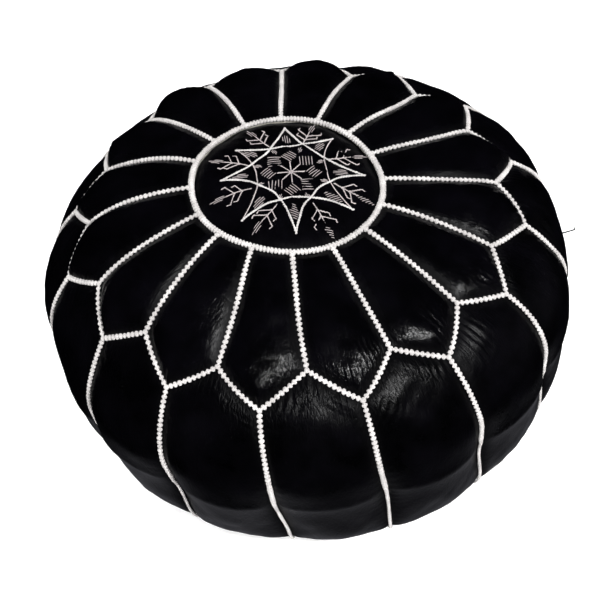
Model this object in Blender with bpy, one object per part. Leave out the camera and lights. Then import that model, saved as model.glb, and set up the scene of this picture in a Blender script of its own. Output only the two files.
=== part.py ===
"""A round stuffed leather pouf, standing on the floor, +Z up, front towards -Y.

The cover is sewn from a round medallion, sixteen top petals and sixteen side panels.
Every panel is cut from one turned outline, the seam line: a panel's leather swells out
from it and a seam's braid sits in the slot between two panels. Sixteen radial seams run
out from the medallion to the shoulder, a zigzag seam joins petals to side panels, and
sixteen side seams, half a pitch round from the radial ones, run down to the base.
The base is two half-discs with a zip between them, in a shallow channel.
All sizes are in metres.
"""

import math

import bmesh
import bpy
import numpy as np

# Overall shape of the seam line
BODY_RADIUS = 0.2615
TOP_HEIGHT = 0.2650
MEDALLION_RADIUS = 0.0900
MEDALLION_RISE = 0.0150
MEDALLION_RINGS = 3
SHOULDER_INSET = 0.0645  # equator to the inner points of the zigzag
SHOULDER_DROP = 0.0310
HEM_INSET = 0.0380  # equator to the outer points of the zigzag
HEM_DROP = 0.0490
EQUATOR_HEIGHT = 0.1420
CREASE_INSET = 0.0010
CREASE_HEIGHT = 0.1150
FOOT_INSET = 0.0230
FOOT_HEIGHT = 0.0120
BASE_INSET = 0.0420
BASE_EDGE_HEIGHT = 0.0032
SEAM_COUNT = 16

# Leather and sewing
LEATHER = 0.0016
PETAL_PUFF = 0.0060
SIDE_PUFF = 0.0045
PUFF_FULLNESS = 0.7  # under 1 keeps the swelling full close to the seams
BRAID_HALF_WIDTH = 0.0025
BRAID_CROWN = 0.0024
BRAID_ROOT = 0.0020
RING_HALF_WIDTH = 0.0032
RING_CROWN = 0.0032
BASE_SEAM_HALF_WIDTH = 0.0022
BASE_SEAM_CROWN = 0.0020
GAP = 0.0004
ZIGZAG_STEPS = 2
PETAL_ROWS = 5
SIDE_ROWS = 8

# Star embroidered on the medallion
STAR_TIP_RADIUS = 0.0690
STAR_BOW = 0.0095
STAR_LINE_WIDTH = 0.0018
STAR_LINE_HEIGHT = 0.0006
STAR_SIDE_STEPS = 6

# Filling
LINER_CLEARANCE = 0.0050
LINER_THICKNESS = 0.0010
LINER_FLOOR_HEIGHT = 0.0165
LINER_MOUTH_RADIUS = 0.0450
FILLING_CLEARANCE = 0.0008
FILLING_SIDES = 32
FILLING_STATIONS = 14

# Base and its zip, along X
BASE_THICKNESS = 0.0020
CHANNEL_DEPTH = 0.0080
CHANNEL_HALF_WIDTH = 0.0135
CHANNEL_WALL = 0.0040
CHANNEL_FADE = 0.0300
BASE_STATIONS = 14
FADE_STATIONS = 4
ZIP_END_MARGIN = 0.0660  # rim of the base to the last tooth
ZIP_GAP_HALF = 0.0050
TAPE_THICKNESS = 0.0008
TAPE_OUTER_EDGE = 0.0120
TOOTH_INNER_EDGE = 0.0006
TOOTH_ROOT = 0.0015
TOOTH_OUTER_EDGE = 0.0022
TOOTH_THICKNESS = 0.0016
TOOTH_PITCH = 0.0040
STOP_LENGTH = 0.0030

# Zip slider and its pull tab
SLIDER_LENGTH = 0.0120
SLIDER_HALF_WIDTH = 0.0042
SLIDER_PLATE = 0.0012
SLIDER_CLEARANCE = 0.0003
SLIDER_FLANGE_WIDTH = 0.0013
SLIDER_POST_LENGTH = 0.0030
SLIDER_POST_WIDTH = 0.0006
BAIL_HALF_LENGTH = 0.0040
BAIL_WIDTH = 0.0016
BAIL_HEIGHT = 0.0036
BAIL_WIRE = 0.0010
TAB_LENGTH = 0.0260
TAB_HALF_WIDTH = 0.0034
TAB_THICKNESS = 0.0012
TAB_BAR = 0.0007
TAB_WINDOW_LENGTH = 0.0064
TAB_SIDE_CLEARANCE = 0.0005
TAB_END_CLEARANCE = 0.0020

PITCH = 2 * math.pi / SEAM_COUNT
PANEL_COLUMNS = 2 * ZIGZAG_STEPS


class SeamLine:
    """The turned outline that every panel is cut from, walked by length from the ring to the base."""

    STEPS_PER_SPAN = 24

    def __init__(self):
        stations = np.array(
            [
                (MEDALLION_RADIUS, TOP_HEIGHT),
                (BODY_RADIUS - SHOULDER_INSET, TOP_HEIGHT - SHOULDER_DROP),
                (BODY_RADIUS - HEM_INSET, TOP_HEIGHT - HEM_DROP),
                (BODY_RADIUS, EQUATOR_HEIGHT),
                (BODY_RADIUS - CREASE_INSET, CREASE_HEIGHT),
                (BODY_RADIUS - FOOT_INSET, FOOT_HEIGHT),
                (BODY_RADIUS - BASE_INSET, BASE_EDGE_HEIGHT),
            ]
        )
        chord = np.hypot(*np.diff(stations, axis=0).T)
        knots = np.concatenate([[0], np.cumsum(chord)])
        slope = np.gradient(stations, knots, axis=0)
        slope[0] = (1, 0)
        slope[3] = (0, -1)
        points = [stations[0]]
        for span, length in enumerate(chord):
            for t in np.linspace(0, 1, self.STEPS_PER_SPAN + 1)[1:]:
                points.append(
                    (2 * t**3 - 3 * t**2 + 1) * stations[span]
                    + (t**3 - 2 * t**2 + t) * length * slope[span]
                    + (3 * t**2 - 2 * t**3) * stations[span + 1]
                    + (t**3 - t**2) * length * slope[span + 1]
                )
        self.points = np.array(points)
        steps = np.diff(self.points, axis=0)
        self.lengths = np.concatenate([[0], np.cumsum(np.hypot(*steps.T))])
        heading = np.unwrap(np.arctan2(steps[:, 1], steps[:, 0]))
        turned = np.concatenate([[0], np.cumsum(np.abs(np.diff(heading)))])
        turned = np.append(turned, turned[-1])
        self.effort = self.lengths / self.lengths[-1] + turned / turned[-1]
        self.shoulder = self.lengths[self.STEPS_PER_SPAN]
        self.hem = self.lengths[2 * self.STEPS_PER_SPAN]
        self.end = self.lengths[-1]
        rise = self.hem - self.shoulder
        run = self.radius((self.shoulder + self.hem) / 2) * PITCH / 2
        self.mitre = math.hypot(rise, run) / run

    def radius(self, s):
        return np.interp(s, self.lengths, self.points[:, 0])

    def height(self, s):
        return np.interp(s, self.lengths, self.points[:, 1])

    def zigzag(self, angle):
        """Length along the outline at which the zigzag seam crosses this angle; seams lie at whole pitches."""
        turn = abs((angle / PITCH + 0.5) % 1 - 0.5) * 2
        return self.shoulder + (self.hem - self.shoulder) * turn

    def between(self, first, last, share):
        """The length that lies this share of the way from first to last, closer set where the outline bends."""
        ends = np.interp((first, last), self.lengths, self.effort)
        return np.interp(ends[0] + (ends[1] - ends[0]) * share, self.effort, self.lengths)

    def place(self, s, angle, lift=0.0):
        """The point at length s and this angle, lifted outwards along the surface's normal."""
        step = 1e-3
        before, after = max(s - step, 0), min(s + step, self.end)
        slope = np.array(
            [
                self.radius(after) - self.radius(before),
                self.height(after) - self.height(before),
            ]
        )
        slope /= np.hypot(*slope)
        r = self.radius(s) - slope[1] * lift
        z = self.height(s) + slope[0] * lift
        return (r * math.cos(angle), r * math.sin(angle), z)


SEAM_LINE = SeamLine()
RING_EDGE = RING_HALF_WIDTH + GAP
BASE_SEAM_EDGE = BASE_SEAM_HALF_WIDTH + GAP
PANEL_INSET = BRAID_HALF_WIDTH + GAP

BASE_RADIUS = BODY_RADIUS - BASE_INSET - BASE_SEAM_EDGE
CHANNEL_FOOT = CHANNEL_HALF_WIDTH + CHANNEL_WALL
TOOTH_COUNT = int(2 * (BASE_RADIUS - ZIP_END_MARGIN) / TOOTH_PITCH)
TEETH_HALF = TOOTH_COUNT * TOOTH_PITCH / 2
SLIDER_START = SLIDER_LENGTH / 2 - TEETH_HALF
CHANNEL_HALF_LENGTH = TAB_LENGTH + TAB_END_CLEARANCE - SLIDER_START
TAPE_LIFT = BASE_THICKNESS + GAP
TAPE_LOW = CHANNEL_DEPTH + TAPE_LIFT
TOOTH_MIDDLE = TAPE_LOW + TAPE_THICKNESS / 2
TOOTH_LOW = TOOTH_MIDDLE - TOOTH_THICKNESS / 2
TOOTH_HIGH = TOOTH_MIDDLE + TOOTH_THICKNESS / 2


def clear_scene():
    for obj in list(bpy.data.objects):
        bpy.data.objects.remove(obj)


def seam_angle(number):
    """Angle of radial seam 1 to 16: the first is at the back, and they count clockwise from above."""
    return math.pi / 2 - (number - 1) * PITCH


def material(name, colour, roughness, metallic=0.0):
    made = bpy.data.materials.new(name)
    made.use_nodes = True
    shader = made.node_tree.nodes["Principled BSDF"]
    shader.inputs["Base Color"].default_value = (*colour, 1)
    shader.inputs["Roughness"].default_value = roughness
    shader.inputs["Metallic"].default_value = metallic
    return made


def add_object(name, bm, look, smooth_angle=None):
    """Turn a bmesh into a named object with its material, faces outward."""
    bmesh.ops.recalc_face_normals(bm, faces=bm.faces)
    mesh = bpy.data.meshes.new(name)
    bm.to_mesh(mesh)
    bm.free()
    if smooth_angle is not None:
        mesh.shade_smooth()
        mesh.set_sharp_from_angle(angle=math.radians(smooth_angle))
    mesh.materials.append(look)
    obj = bpy.data.objects.new(name, mesh)
    bpy.context.scene.collection.objects.link(obj)
    return obj


def union(obj, piece, name):
    """Join a helper's solid to an object and leave the helper out of the model."""
    piece.hide_render = True
    piece.display_type = "WIRE"
    join = obj.modifiers.new(name, "BOOLEAN")
    join.operation = "UNION"
    join.object = piece


def add_grids(bm, outer, inner):
    """Close two matching grids of points into one thick sheet."""
    sheets = [[[bm.verts.new(p) for p in row] for row in grid] for grid in (outer, inner)]
    rows, columns = len(outer), len(outer[0])
    for grid in sheets:
        for i in range(rows - 1):
            for j in range(columns - 1):
                bm.faces.new((grid[i][j], grid[i][j + 1], grid[i + 1][j + 1], grid[i + 1][j]))
    rim = [(0, j) for j in range(columns)]
    rim += [(i, columns - 1) for i in range(1, rows)]
    rim += [(rows - 1, j) for j in reversed(range(columns - 1))]
    rim += [(i, 0) for i in reversed(range(1, rows - 1))]
    top, bottom = sheets
    for (a, b), (c, d) in zip(rim, rim[1:] + rim[:1]):
        bm.faces.new((top[a][b], top[c][d], bottom[c][d], bottom[a][b]))


def add_panel(name, centre, rows, first, last, puff, look):
    """A swollen panel half a pitch either side of centre, from length first(angle) to last(angle)."""
    outer, inner = [], []
    for i in range(rows + 1):
        outer_row, inner_row = [], []
        for j in range(PANEL_COLUMNS + 1):
            u = 2 * j / PANEL_COLUMNS - 1
            angle = centre + u * PITCH / 2
            for _ in range(4):
                s = SEAM_LINE.between(first(angle), last(angle), i / rows)
                angle = centre + u * (PITCH / 2 - PANEL_INSET / SEAM_LINE.radius(s))
            down = (s - first(angle)) / (last(angle) - first(angle))
            swell = puff * (1 - u * u) * math.sin(math.pi * min(max(down, 0), 1)) ** PUFF_FULLNESS
            outer_row.append(SEAM_LINE.place(s, angle, swell))
            inner_row.append(SEAM_LINE.place(s, angle, swell - LEATHER))
        outer.append(outer_row)
        inner.append(inner_row)
    bm = bmesh.new()
    add_grids(bm, outer, inner)
    return add_object(name, bm, look, smooth_angle=50)


def add_petals(look):
    for number in range(1, SEAM_COUNT + 1):
        add_panel(
            f"petal_{number:02d}",
            seam_angle(number) - PITCH / 2,
            PETAL_ROWS,
            lambda angle: RING_EDGE,
            lambda angle: SEAM_LINE.zigzag(angle) - SEAM_LINE.mitre * PANEL_INSET,
            PETAL_PUFF,
            look,
        )


def add_side_panels(look):
    """Side panel 1 hangs below radial seam 1, between two petals' tips."""
    for number in range(1, SEAM_COUNT + 1):
        add_panel(
            f"side_panel_{number:02d}",
            seam_angle(number),
            SIDE_ROWS,
            lambda angle: SEAM_LINE.zigzag(angle) + SEAM_LINE.mitre * PANEL_INSET,
            lambda angle: SEAM_LINE.end - BASE_SEAM_EDGE,
            SIDE_PUFF,
            look,
        )


def crown_height(r):
    """Height of the medallion's domed outer face at this radius."""
    edge = MEDALLION_RADIUS - RING_EDGE
    return TOP_HEIGHT + MEDALLION_RISE * (1 - (r / edge) ** 2)


def add_medallion(look):
    radii = np.linspace(0, MEDALLION_RADIUS - RING_EDGE, MEDALLION_RINGS + 1)
    outside = [(r, crown_height(r)) for r in radii]
    inside = [(r, z - LEATHER) for r, z in outside[::-1]]
    bm = bmesh.new()
    turned(bm, outside + inside, 4 * SEAM_COUNT)
    add_object("medallion", bm, look, smooth_angle=40)


def add_ring(name, radius, height, half_width, crown, root, look):
    """A closed braid round the axis, with a four-sided section."""
    bm = bmesh.new()
    section = (
        (radius + half_width, height),
        (radius, height + crown),
        (radius - half_width, height),
        (radius, height - root),
    )
    sides = 4 * SEAM_COUNT
    loops = [
        [
            bm.verts.new((r * math.cos(2 * math.pi * i / sides), r * math.sin(2 * math.pi * i / sides), z))
            for r, z in section
        ]
        for i in range(sides)
    ]
    for loop, after in zip(loops, loops[1:] + loops[:1]):
        for j in range(4):
            k = (j + 1) % 4
            bm.faces.new((loop[j], after[j], after[k], loop[k]))
    add_object(name, bm, look)


def add_seam_braid(look):
    """The braid over the radial, zigzag and side seams: one branching cord with mitred joins."""
    bm = bmesh.new()
    half, mitre = BRAID_HALF_WIDTH, SEAM_LINE.mitre

    def vertex(s, angle, lift=0.0):
        return bm.verts.new(SEAM_LINE.place(s, angle, lift))

    def section(left, centre, right):
        """Vertices of one cut across the braid, from three (s, angle) points."""
        return (
            vertex(*left),
            vertex(*centre, BRAID_CROWN),
            vertex(*right),
            vertex(*centre, -BRAID_ROOT),
        )

    def straight(s, angle):
        """A cut across a seam that runs straight down the outline."""
        turn = half / SEAM_LINE.radius(s)
        return section((s, angle + turn), (s, angle), (s, angle - turn))

    def stitch(cuts, close_first=False, close_last=False):
        for cut, after in zip(cuts, cuts[1:]):
            for j in range(4):
                k = (j + 1) % 4
                bm.faces.new((cut[j], after[j], after[k], cut[k]))
        if close_first:
            bm.faces.new(cuts[0])
        if close_last:
            bm.faces.new(cuts[-1])

    def corner(angle, side, across):
        """Where the edges of a straight seam and a zigzag seam meet, at one side of the straight seam."""
        s = SEAM_LINE.zigzag(angle)
        for _ in range(4):
            turned = angle + side * half / SEAM_LINE.radius(s)
            s = SEAM_LINE.zigzag(turned) + across * mitre * half
        return vertex(s, turned)

    inner_joins, outer_joins = [], []
    for number in range(SEAM_COUNT):
        angle = seam_angle(number + 1)
        s = SEAM_LINE.shoulder
        inner_joins.append(
            {
                "left": corner(angle, 1, -1),
                "right": corner(angle, -1, -1),
                "far": vertex(s + mitre * half, angle),
                "top": vertex(s, angle, BRAID_CROWN),
                "bottom": vertex(s, angle, -BRAID_ROOT),
            }
        )
        angle -= PITCH / 2
        s = SEAM_LINE.hem
        outer_joins.append(
            {
                "left": corner(angle, 1, 1),
                "right": corner(angle, -1, 1),
                "far": vertex(s - mitre * half, angle),
                "top": vertex(s, angle, BRAID_CROWN),
                "bottom": vertex(s, angle, -BRAID_ROOT),
            }
        )

    for number in range(SEAM_COUNT):
        inner, outer = inner_joins[number], outer_joins[number]
        after = inner_joins[(number + 1) % SEAM_COUNT]
        angle = seam_angle(number + 1)
        last = SEAM_LINE.shoulder - mitre * half
        reach = [SEAM_LINE.between(RING_EDGE, last, row / PETAL_ROWS) for row in range(PETAL_ROWS)]
        cuts = [straight(s, angle) for s in reach]
        cuts.append((inner["left"], inner["top"], inner["right"], inner["bottom"]))
        stitch(cuts, close_first=True)

        cuts = [(inner["right"], inner["top"], inner["far"], inner["bottom"])]
        cuts += zigzag_cuts(section, angle, angle - PITCH / 2)
        cuts.append((outer["far"], outer["top"], outer["left"], outer["bottom"]))
        stitch(cuts)

        cuts = [(outer["far"], outer["top"], outer["right"], outer["bottom"])]
        cuts += zigzag_cuts(section, angle - PITCH / 2, angle - PITCH)
        cuts.append((after["left"], after["top"], after["far"], after["bottom"]))
        stitch(cuts)

        cuts = [(outer["left"], outer["top"], outer["right"], outer["bottom"])]
        first, last = SEAM_LINE.hem + mitre * half, SEAM_LINE.end - BASE_SEAM_EDGE
        reach = [SEAM_LINE.between(first, last, row / SIDE_ROWS) for row in range(1, SIDE_ROWS + 1)]
        cuts += [straight(s, angle - PITCH / 2) for s in reach]
        stitch(cuts, close_last=True)
    add_object("seam_braid", bm, look)


def zigzag_cuts(section, start, end):
    """The cuts between the two joins of one slanting seam, petal side first."""
    reach = SEAM_LINE.mitre * BRAID_HALF_WIDTH
    cuts = []
    for step in range(1, ZIGZAG_STEPS):
        angle = start + (end - start) * step / ZIGZAG_STEPS
        s = SEAM_LINE.zigzag(angle)
        cuts.append(section((s - reach, angle), (s, angle), (s + reach, angle)))
    return cuts


def square_frame(turn, low, high):
    """A square of thread lines with its sides bowed inwards, lifted low to high off the medallion."""
    middle = []
    for side in range(4):
        corner = turn + side * math.pi / 2
        a = STAR_TIP_RADIUS * np.array([math.cos(corner), math.sin(corner)])
        b = STAR_TIP_RADIUS * np.array([-math.sin(corner), math.cos(corner)])
        inward = -(a + b) / np.hypot(*(a + b))
        for t in np.linspace(0, 1, STAR_SIDE_STEPS + 1)[:-1]:
            middle.append(a + (b - a) * t + inward * STAR_BOW * 4 * t * (1 - t))
    middle = np.array(middle)
    ahead = np.roll(middle, -1, axis=0) - middle
    ahead /= np.hypot(*ahead.T)[:, None]
    mean = ahead + np.roll(ahead, 1, axis=0)
    outwards = 2 * np.column_stack([mean[:, 1], -mean[:, 0]]) / (mean * mean).sum(axis=1)[:, None]
    bm = bmesh.new()
    rings = []
    for side, lift in ((1, low), (1, high), (-1, high), (-1, low)):
        points = middle + side * outwards * STAR_LINE_WIDTH / 2
        rings.append([bm.verts.new((*p, crown_height(np.hypot(*p)) + lift)) for p in points])
    count = len(middle)
    for ring, following in zip(rings, rings[1:] + rings[:1]):
        for i in range(count):
            j = (i + 1) % count
            bm.faces.new((ring[i], ring[j], following[j], following[i]))
    return bm


def add_star(look):
    """Two bowed squares of thread, an eighth of a turn apart, joined where they cross."""
    overlap = STAR_LINE_HEIGHT / 10
    low, high = GAP, GAP + STAR_LINE_HEIGHT
    star = add_object("medallion_star", square_frame(math.pi / 2, low, high), look)
    second = add_object("star_second_square", square_frame(math.pi / 4, low + overlap, high - overlap), look)
    union(star, second, "second_square")


def turned(bm, profile, sides):
    """Spin a profile of (radius, height) points round Z; ends at radius 0 close on the axis."""
    rings = []
    for r, z in profile:
        if r == 0:
            rings.append([bm.verts.new((0, 0, z))])
            continue
        angles = [2 * math.pi * i / sides for i in range(sides)]
        rings.append([bm.verts.new((r * math.cos(a), r * math.sin(a), z)) for a in angles])
    for ring, after in zip(rings, rings[1:]):
        for i in range(sides):
            j = (i + 1) % sides
            corners = [ring[i % len(ring)], ring[j % len(ring)], after[j % len(after)], after[i % len(after)]]
            bm.faces.new(list(dict.fromkeys(corners)))


def inside_outline(clearance, floor):
    """The cover's outline drawn in by a clearance, from the axis at the top down to a flat floor."""
    shares = np.linspace(0, 1, FILLING_STATIONS + 1)
    stations = [SEAM_LINE.between(0, SEAM_LINE.end, share) for share in shares]
    line = [SEAM_LINE.place(s, 0.0, -clearance) for s in stations]
    line = [(x, z) for x, _, z in line if z > floor + clearance]
    below = [SEAM_LINE.place(s, 0.0, -clearance) for s in SEAM_LINE.lengths]
    corner = next(x for x, _, z in below if z < floor)
    return [(0, TOP_HEIGHT + MEDALLION_RISE - clearance), *line, (corner, floor)]


def add_liner(look):
    """A cloth bag round the filling, with its filling mouth open over the zip."""
    outside = inside_outline(LINER_CLEARANCE, LINER_FLOOR_HEIGHT)
    outside.append((LINER_MOUTH_RADIUS, LINER_FLOOR_HEIGHT))
    inside = inside_outline(LINER_CLEARANCE + LINER_THICKNESS, LINER_FLOOR_HEIGHT + LINER_THICKNESS)
    inside.append((LINER_MOUTH_RADIUS, LINER_FLOOR_HEIGHT + LINER_THICKNESS))
    bm = bmesh.new()
    turned(bm, outside + inside[::-1], FILLING_SIDES)
    add_object("inner_liner", bm, look, smooth_angle=40)


def add_filling(look):
    clearance = LINER_CLEARANCE + LINER_THICKNESS + FILLING_CLEARANCE
    floor = LINER_FLOOR_HEIGHT + LINER_THICKNESS + FILLING_CLEARANCE
    bm = bmesh.new()
    turned(bm, inside_outline(clearance, floor) + [(0, floor)], FILLING_SIDES)
    add_object("filling", bm, look, smooth_angle=40)


def base_angles():
    """Where the base's cross lines meet its rim: some for each faded end of the channel, most between."""
    rim = math.asin((CHANNEL_FOOT + GAP) / BASE_RADIUS)
    deep = math.acos(CHANNEL_HALF_LENGTH / BASE_RADIUS)
    first = np.linspace(rim, deep, FADE_STATIONS + 1)
    middle = np.linspace(deep, math.pi - deep, BASE_STATIONS + 1)
    return np.concatenate([first[:-1], middle, math.pi - first[-2::-1]])


def channel_rise(x):
    """How far the zip channel is let into the base at this place along it: it runs out towards the rim."""
    past = (abs(x) - CHANNEL_HALF_LENGTH) / CHANNEL_FADE
    fade = min(max(past, 0), 1)
    return CHANNEL_DEPTH * (1 + math.cos(math.pi * fade)) / 2


def add_base_half(name, side, look):
    """Half of the base, flat on the floor, with its zip edge turned up into the channel."""
    lower, upper = [], []
    for angle in base_angles():
        x, rim = BASE_RADIUS * math.cos(angle), BASE_RADIUS * math.sin(angle)
        rise = channel_rise(x)
        line = [(ZIP_GAP_HALF, rise), (CHANNEL_HALF_WIDTH, rise), (CHANNEL_FOOT, 0.0), (rim, 0.0)]
        lower.append([(x, side * y, z) for y, z in line])
        upper.append([(x, side * y, z + BASE_THICKNESS) for y, z in line])
    bm = bmesh.new()
    add_grids(bm, lower, upper)
    add_object(name, bm, look)


def add_tape(name, side, look):
    """The woven tape of one side of the zip, sewn inside the base half's turned-up edge."""
    lower, upper = [], []
    for angle in base_angles():
        x = BASE_RADIUS * math.cos(angle)
        low = channel_rise(x) + TAPE_LIFT
        edges = (TOOTH_OUTER_EDGE + GAP, TAPE_OUTER_EDGE)
        lower.append([(x, side * y, low) for y in edges])
        upper.append([(x, side * y, low + TAPE_THICKNESS) for y in edges])
    bm = bmesh.new()
    add_grids(bm, lower, upper)
    add_object(name, bm, look)


def box(bm, low, high):
    """A closed box from its low corner to its high corner, as eight vertices and six faces."""
    corners = [
        bm.verts.new([(low, high)[(index >> axis) & 1][axis] for axis in range(3)]) for index in range(8)
    ]
    for face in ((0, 1, 3, 2), (4, 5, 7, 6), (0, 1, 5, 4), (2, 3, 7, 6), (0, 2, 6, 4), (1, 3, 7, 5)):
        bm.faces.new([corners[index] for index in face])


def add_teeth(name, side, look):
    """One row of teeth on its spine, a comb facing the other side's row."""
    outline = [(-TEETH_HALF, TOOTH_OUTER_EDGE), (-TEETH_HALF, TOOTH_ROOT)]
    for tooth in range(TOOTH_COUNT):
        left = tooth * TOOTH_PITCH - TEETH_HALF
        outline += [
            (left + TOOTH_PITCH * 0.25, TOOTH_ROOT),
            (left + TOOTH_PITCH * 0.35, TOOTH_INNER_EDGE),
            (left + TOOTH_PITCH * 0.65, TOOTH_INNER_EDGE),
            (left + TOOTH_PITCH * 0.75, TOOTH_ROOT),
        ]
    outline += [(TEETH_HALF, TOOTH_ROOT), (TEETH_HALF, TOOTH_OUTER_EDGE)]
    bm = bmesh.new()
    rings = [[bm.verts.new((x, side * y, z)) for x, y in outline] for z in (TOOTH_LOW, TOOTH_HIGH)]
    for ring in rings:
        bm.faces.new(ring)
    bmesh.ops.bridge_loops(bm, edges=[edge for edge in bm.edges])
    add_object(name, bm, look)


def add_stops(look):
    """A pair of stops at the closed end and one bridging stop at the other."""
    end = TEETH_HALF + GAP
    for name, side in (("zip_top_stop_front", -1), ("zip_top_stop_back", 1)):
        bm = bmesh.new()
        edges = sorted((side * TOOTH_INNER_EDGE, side * TOOTH_OUTER_EDGE))
        box(bm, (-end - STOP_LENGTH, edges[0], TOOTH_LOW), (-end, edges[1], TOOTH_HIGH))
        add_object(name, bm, look)
    bm = bmesh.new()
    box(bm, (end, -TOOTH_OUTER_EDGE, TOOTH_LOW), (end + STOP_LENGTH, TOOTH_OUTER_EDGE, TOOTH_HIGH))
    add_object("zip_bottom_stop", bm, look)


def slider_shape():
    """Heights of the slider's plates, from the bail's bar up."""
    lower_high = TOOTH_LOW - SLIDER_CLEARANCE
    lower_low = lower_high - SLIDER_PLATE
    upper_low = TOOTH_HIGH + SLIDER_CLEARANCE
    upper_high = upper_low + SLIDER_PLATE
    return lower_low, lower_high, upper_low, upper_high


def add_slider(look):
    """Two plates joined by a thin post between the rows of teeth, with flanges and a bail below."""
    lower_low, lower_high, upper_low, upper_high = slider_shape()
    length, width = SLIDER_LENGTH / 2, SLIDER_HALF_WIDTH
    tape_low = TAPE_LOW - SLIDER_CLEARANCE
    tape_high = TAPE_LOW + TAPE_THICKNESS + SLIDER_CLEARANCE
    sink = SLIDER_PLATE / 4
    bm = bmesh.new()
    box(bm, (-length, -width, lower_low), (length, width, lower_high))
    slider = add_object("zip_slider", bm, look)
    slider.location.x = SLIDER_START
    flange = width - SLIDER_FLANGE_WIDTH
    inset = sink / 2
    pieces = {
        "post": (
            (-SLIDER_POST_LENGTH / 2, -SLIDER_POST_WIDTH / 2, lower_high - sink),
            (SLIDER_POST_LENGTH / 2, SLIDER_POST_WIDTH / 2, upper_low + sink),
        ),
        "upper_plate": ((-length, -width, upper_low), (length, width, upper_high)),
        "bail_front": (
            (-BAIL_HALF_LENGTH, -BAIL_WIDTH / 2, lower_low - BAIL_HEIGHT),
            (-BAIL_HALF_LENGTH + BAIL_WIRE, BAIL_WIDTH / 2, lower_low + sink),
        ),
        "bail_back": (
            (BAIL_HALF_LENGTH - BAIL_WIRE, -BAIL_WIDTH / 2, lower_low - BAIL_HEIGHT),
            (BAIL_HALF_LENGTH, BAIL_WIDTH / 2, lower_low + sink),
        ),
        "bail_bar": (
            (-BAIL_HALF_LENGTH + inset, -BAIL_WIDTH / 2 + inset, lower_low - BAIL_HEIGHT - inset),
            (BAIL_HALF_LENGTH - inset, BAIL_WIDTH / 2 - inset, lower_low - BAIL_HEIGHT + BAIL_WIRE),
        ),
    }
    for side, word in ((-1, "front"), (1, "back")):
        edges = sorted((side * flange, side * (width - inset)))
        pieces[f"lower_flange_{word}"] = (
            (-length + inset, edges[0], lower_high - sink),
            (length - inset, edges[1], tape_low),
        )
        pieces[f"upper_flange_{word}"] = (
            (-length + inset, edges[0], tape_high),
            (length - inset, edges[1], upper_low + sink),
        )
    for word, (low, high) in pieces.items():
        bm = bmesh.new()
        box(bm, low, high)
        piece = add_object(f"slider_{word}", bm, look)
        piece.location.x = SLIDER_START
        union(slider, piece, word)


def hinge_height():
    """The pull tab's bar hangs midway in the bail."""
    lower_low = slider_shape()[0]
    return lower_low - (BAIL_HEIGHT - BAIL_WIRE) / 2


def add_pull_tab(look):
    """A flat tab with a window at one end; the window's end bar is the hinge, held in the bail."""
    arm = BAIL_WIDTH / 2 + TAB_SIDE_CLEARANCE
    outer = [
        (-TAB_BAR, -TAB_HALF_WIDTH),
        (TAB_LENGTH, -TAB_HALF_WIDTH),
        (TAB_LENGTH, TAB_HALF_WIDTH),
        (-TAB_BAR, TAB_HALF_WIDTH),
    ]
    window = [
        (TAB_BAR, -arm),
        (TAB_WINDOW_LENGTH, -arm),
        (TAB_WINDOW_LENGTH, arm),
        (TAB_BAR, arm),
    ]
    bm = bmesh.new()
    rings = []
    for outline in (outer, window):
        for z in (-TAB_THICKNESS / 2, TAB_THICKNESS / 2):
            rings.append([bm.verts.new((x, y, z)) for x, y in outline])
    outer_low, outer_high, window_low, window_high = rings
    loop = [outer_low, outer_high, window_high, window_low]
    for ring, following in zip(loop, loop[1:] + loop[:1]):
        for i in range(4):
            j = (i + 1) % 4
            bm.faces.new((ring[i], ring[j], following[j], following[i]))
    tab = add_object("zip_pull_tab", bm, look)
    tab.location = (SLIDER_START, 0, hinge_height())


def main():
    clear_scene()
    leather = material("black_leather", (0.012, 0.011, 0.014), 0.32)
    medallion_leather = material("medallion_leather", (0.010, 0.010, 0.012), 0.45)
    base_leather = material("base_leather", (0.020, 0.018, 0.020), 0.55)
    thread = material("cream_thread", (0.80, 0.77, 0.73), 0.75)
    cloth = material("liner_cotton", (0.70, 0.67, 0.60), 0.90)
    wadding = material("wadding", (0.86, 0.85, 0.82), 0.95)
    tape = material("zip_tape", (0.02, 0.02, 0.02), 0.85)
    metal = material("zip_metal", (0.55, 0.50, 0.42), 0.35, 1.0)

    add_medallion(medallion_leather)
    add_star(thread)
    add_ring("medallion_braid", MEDALLION_RADIUS, TOP_HEIGHT, RING_HALF_WIDTH, RING_CROWN, BRAID_ROOT, thread)
    add_petals(leather)
    add_side_panels(leather)
    add_seam_braid(thread)
    add_ring(
        "base_seam_cord",
        BODY_RADIUS - BASE_INSET,
        BASE_EDGE_HEIGHT,
        BASE_SEAM_HALF_WIDTH,
        BASE_SEAM_CROWN,
        BASE_SEAM_CROWN,
        thread,
    )
    add_base_half("base_half_front", -1, base_leather)
    add_base_half("base_half_back", 1, base_leather)
    add_tape("zip_tape_front", -1, tape)
    add_tape("zip_tape_back", 1, tape)
    add_teeth("zip_teeth_front", -1, metal)
    add_teeth("zip_teeth_back", 1, metal)
    add_stops(metal)
    add_slider(metal)
    add_pull_tab(metal)
    add_liner(cloth)
    add_filling(wadding)


main()
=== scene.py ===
"""A round stuffed leather pouf: petals, side panels, whipstitched seams, star medallion, zipped base."""

import math

import bmesh
import bpy
import numpy as np
from mathutils import Matrix, Vector


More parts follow.
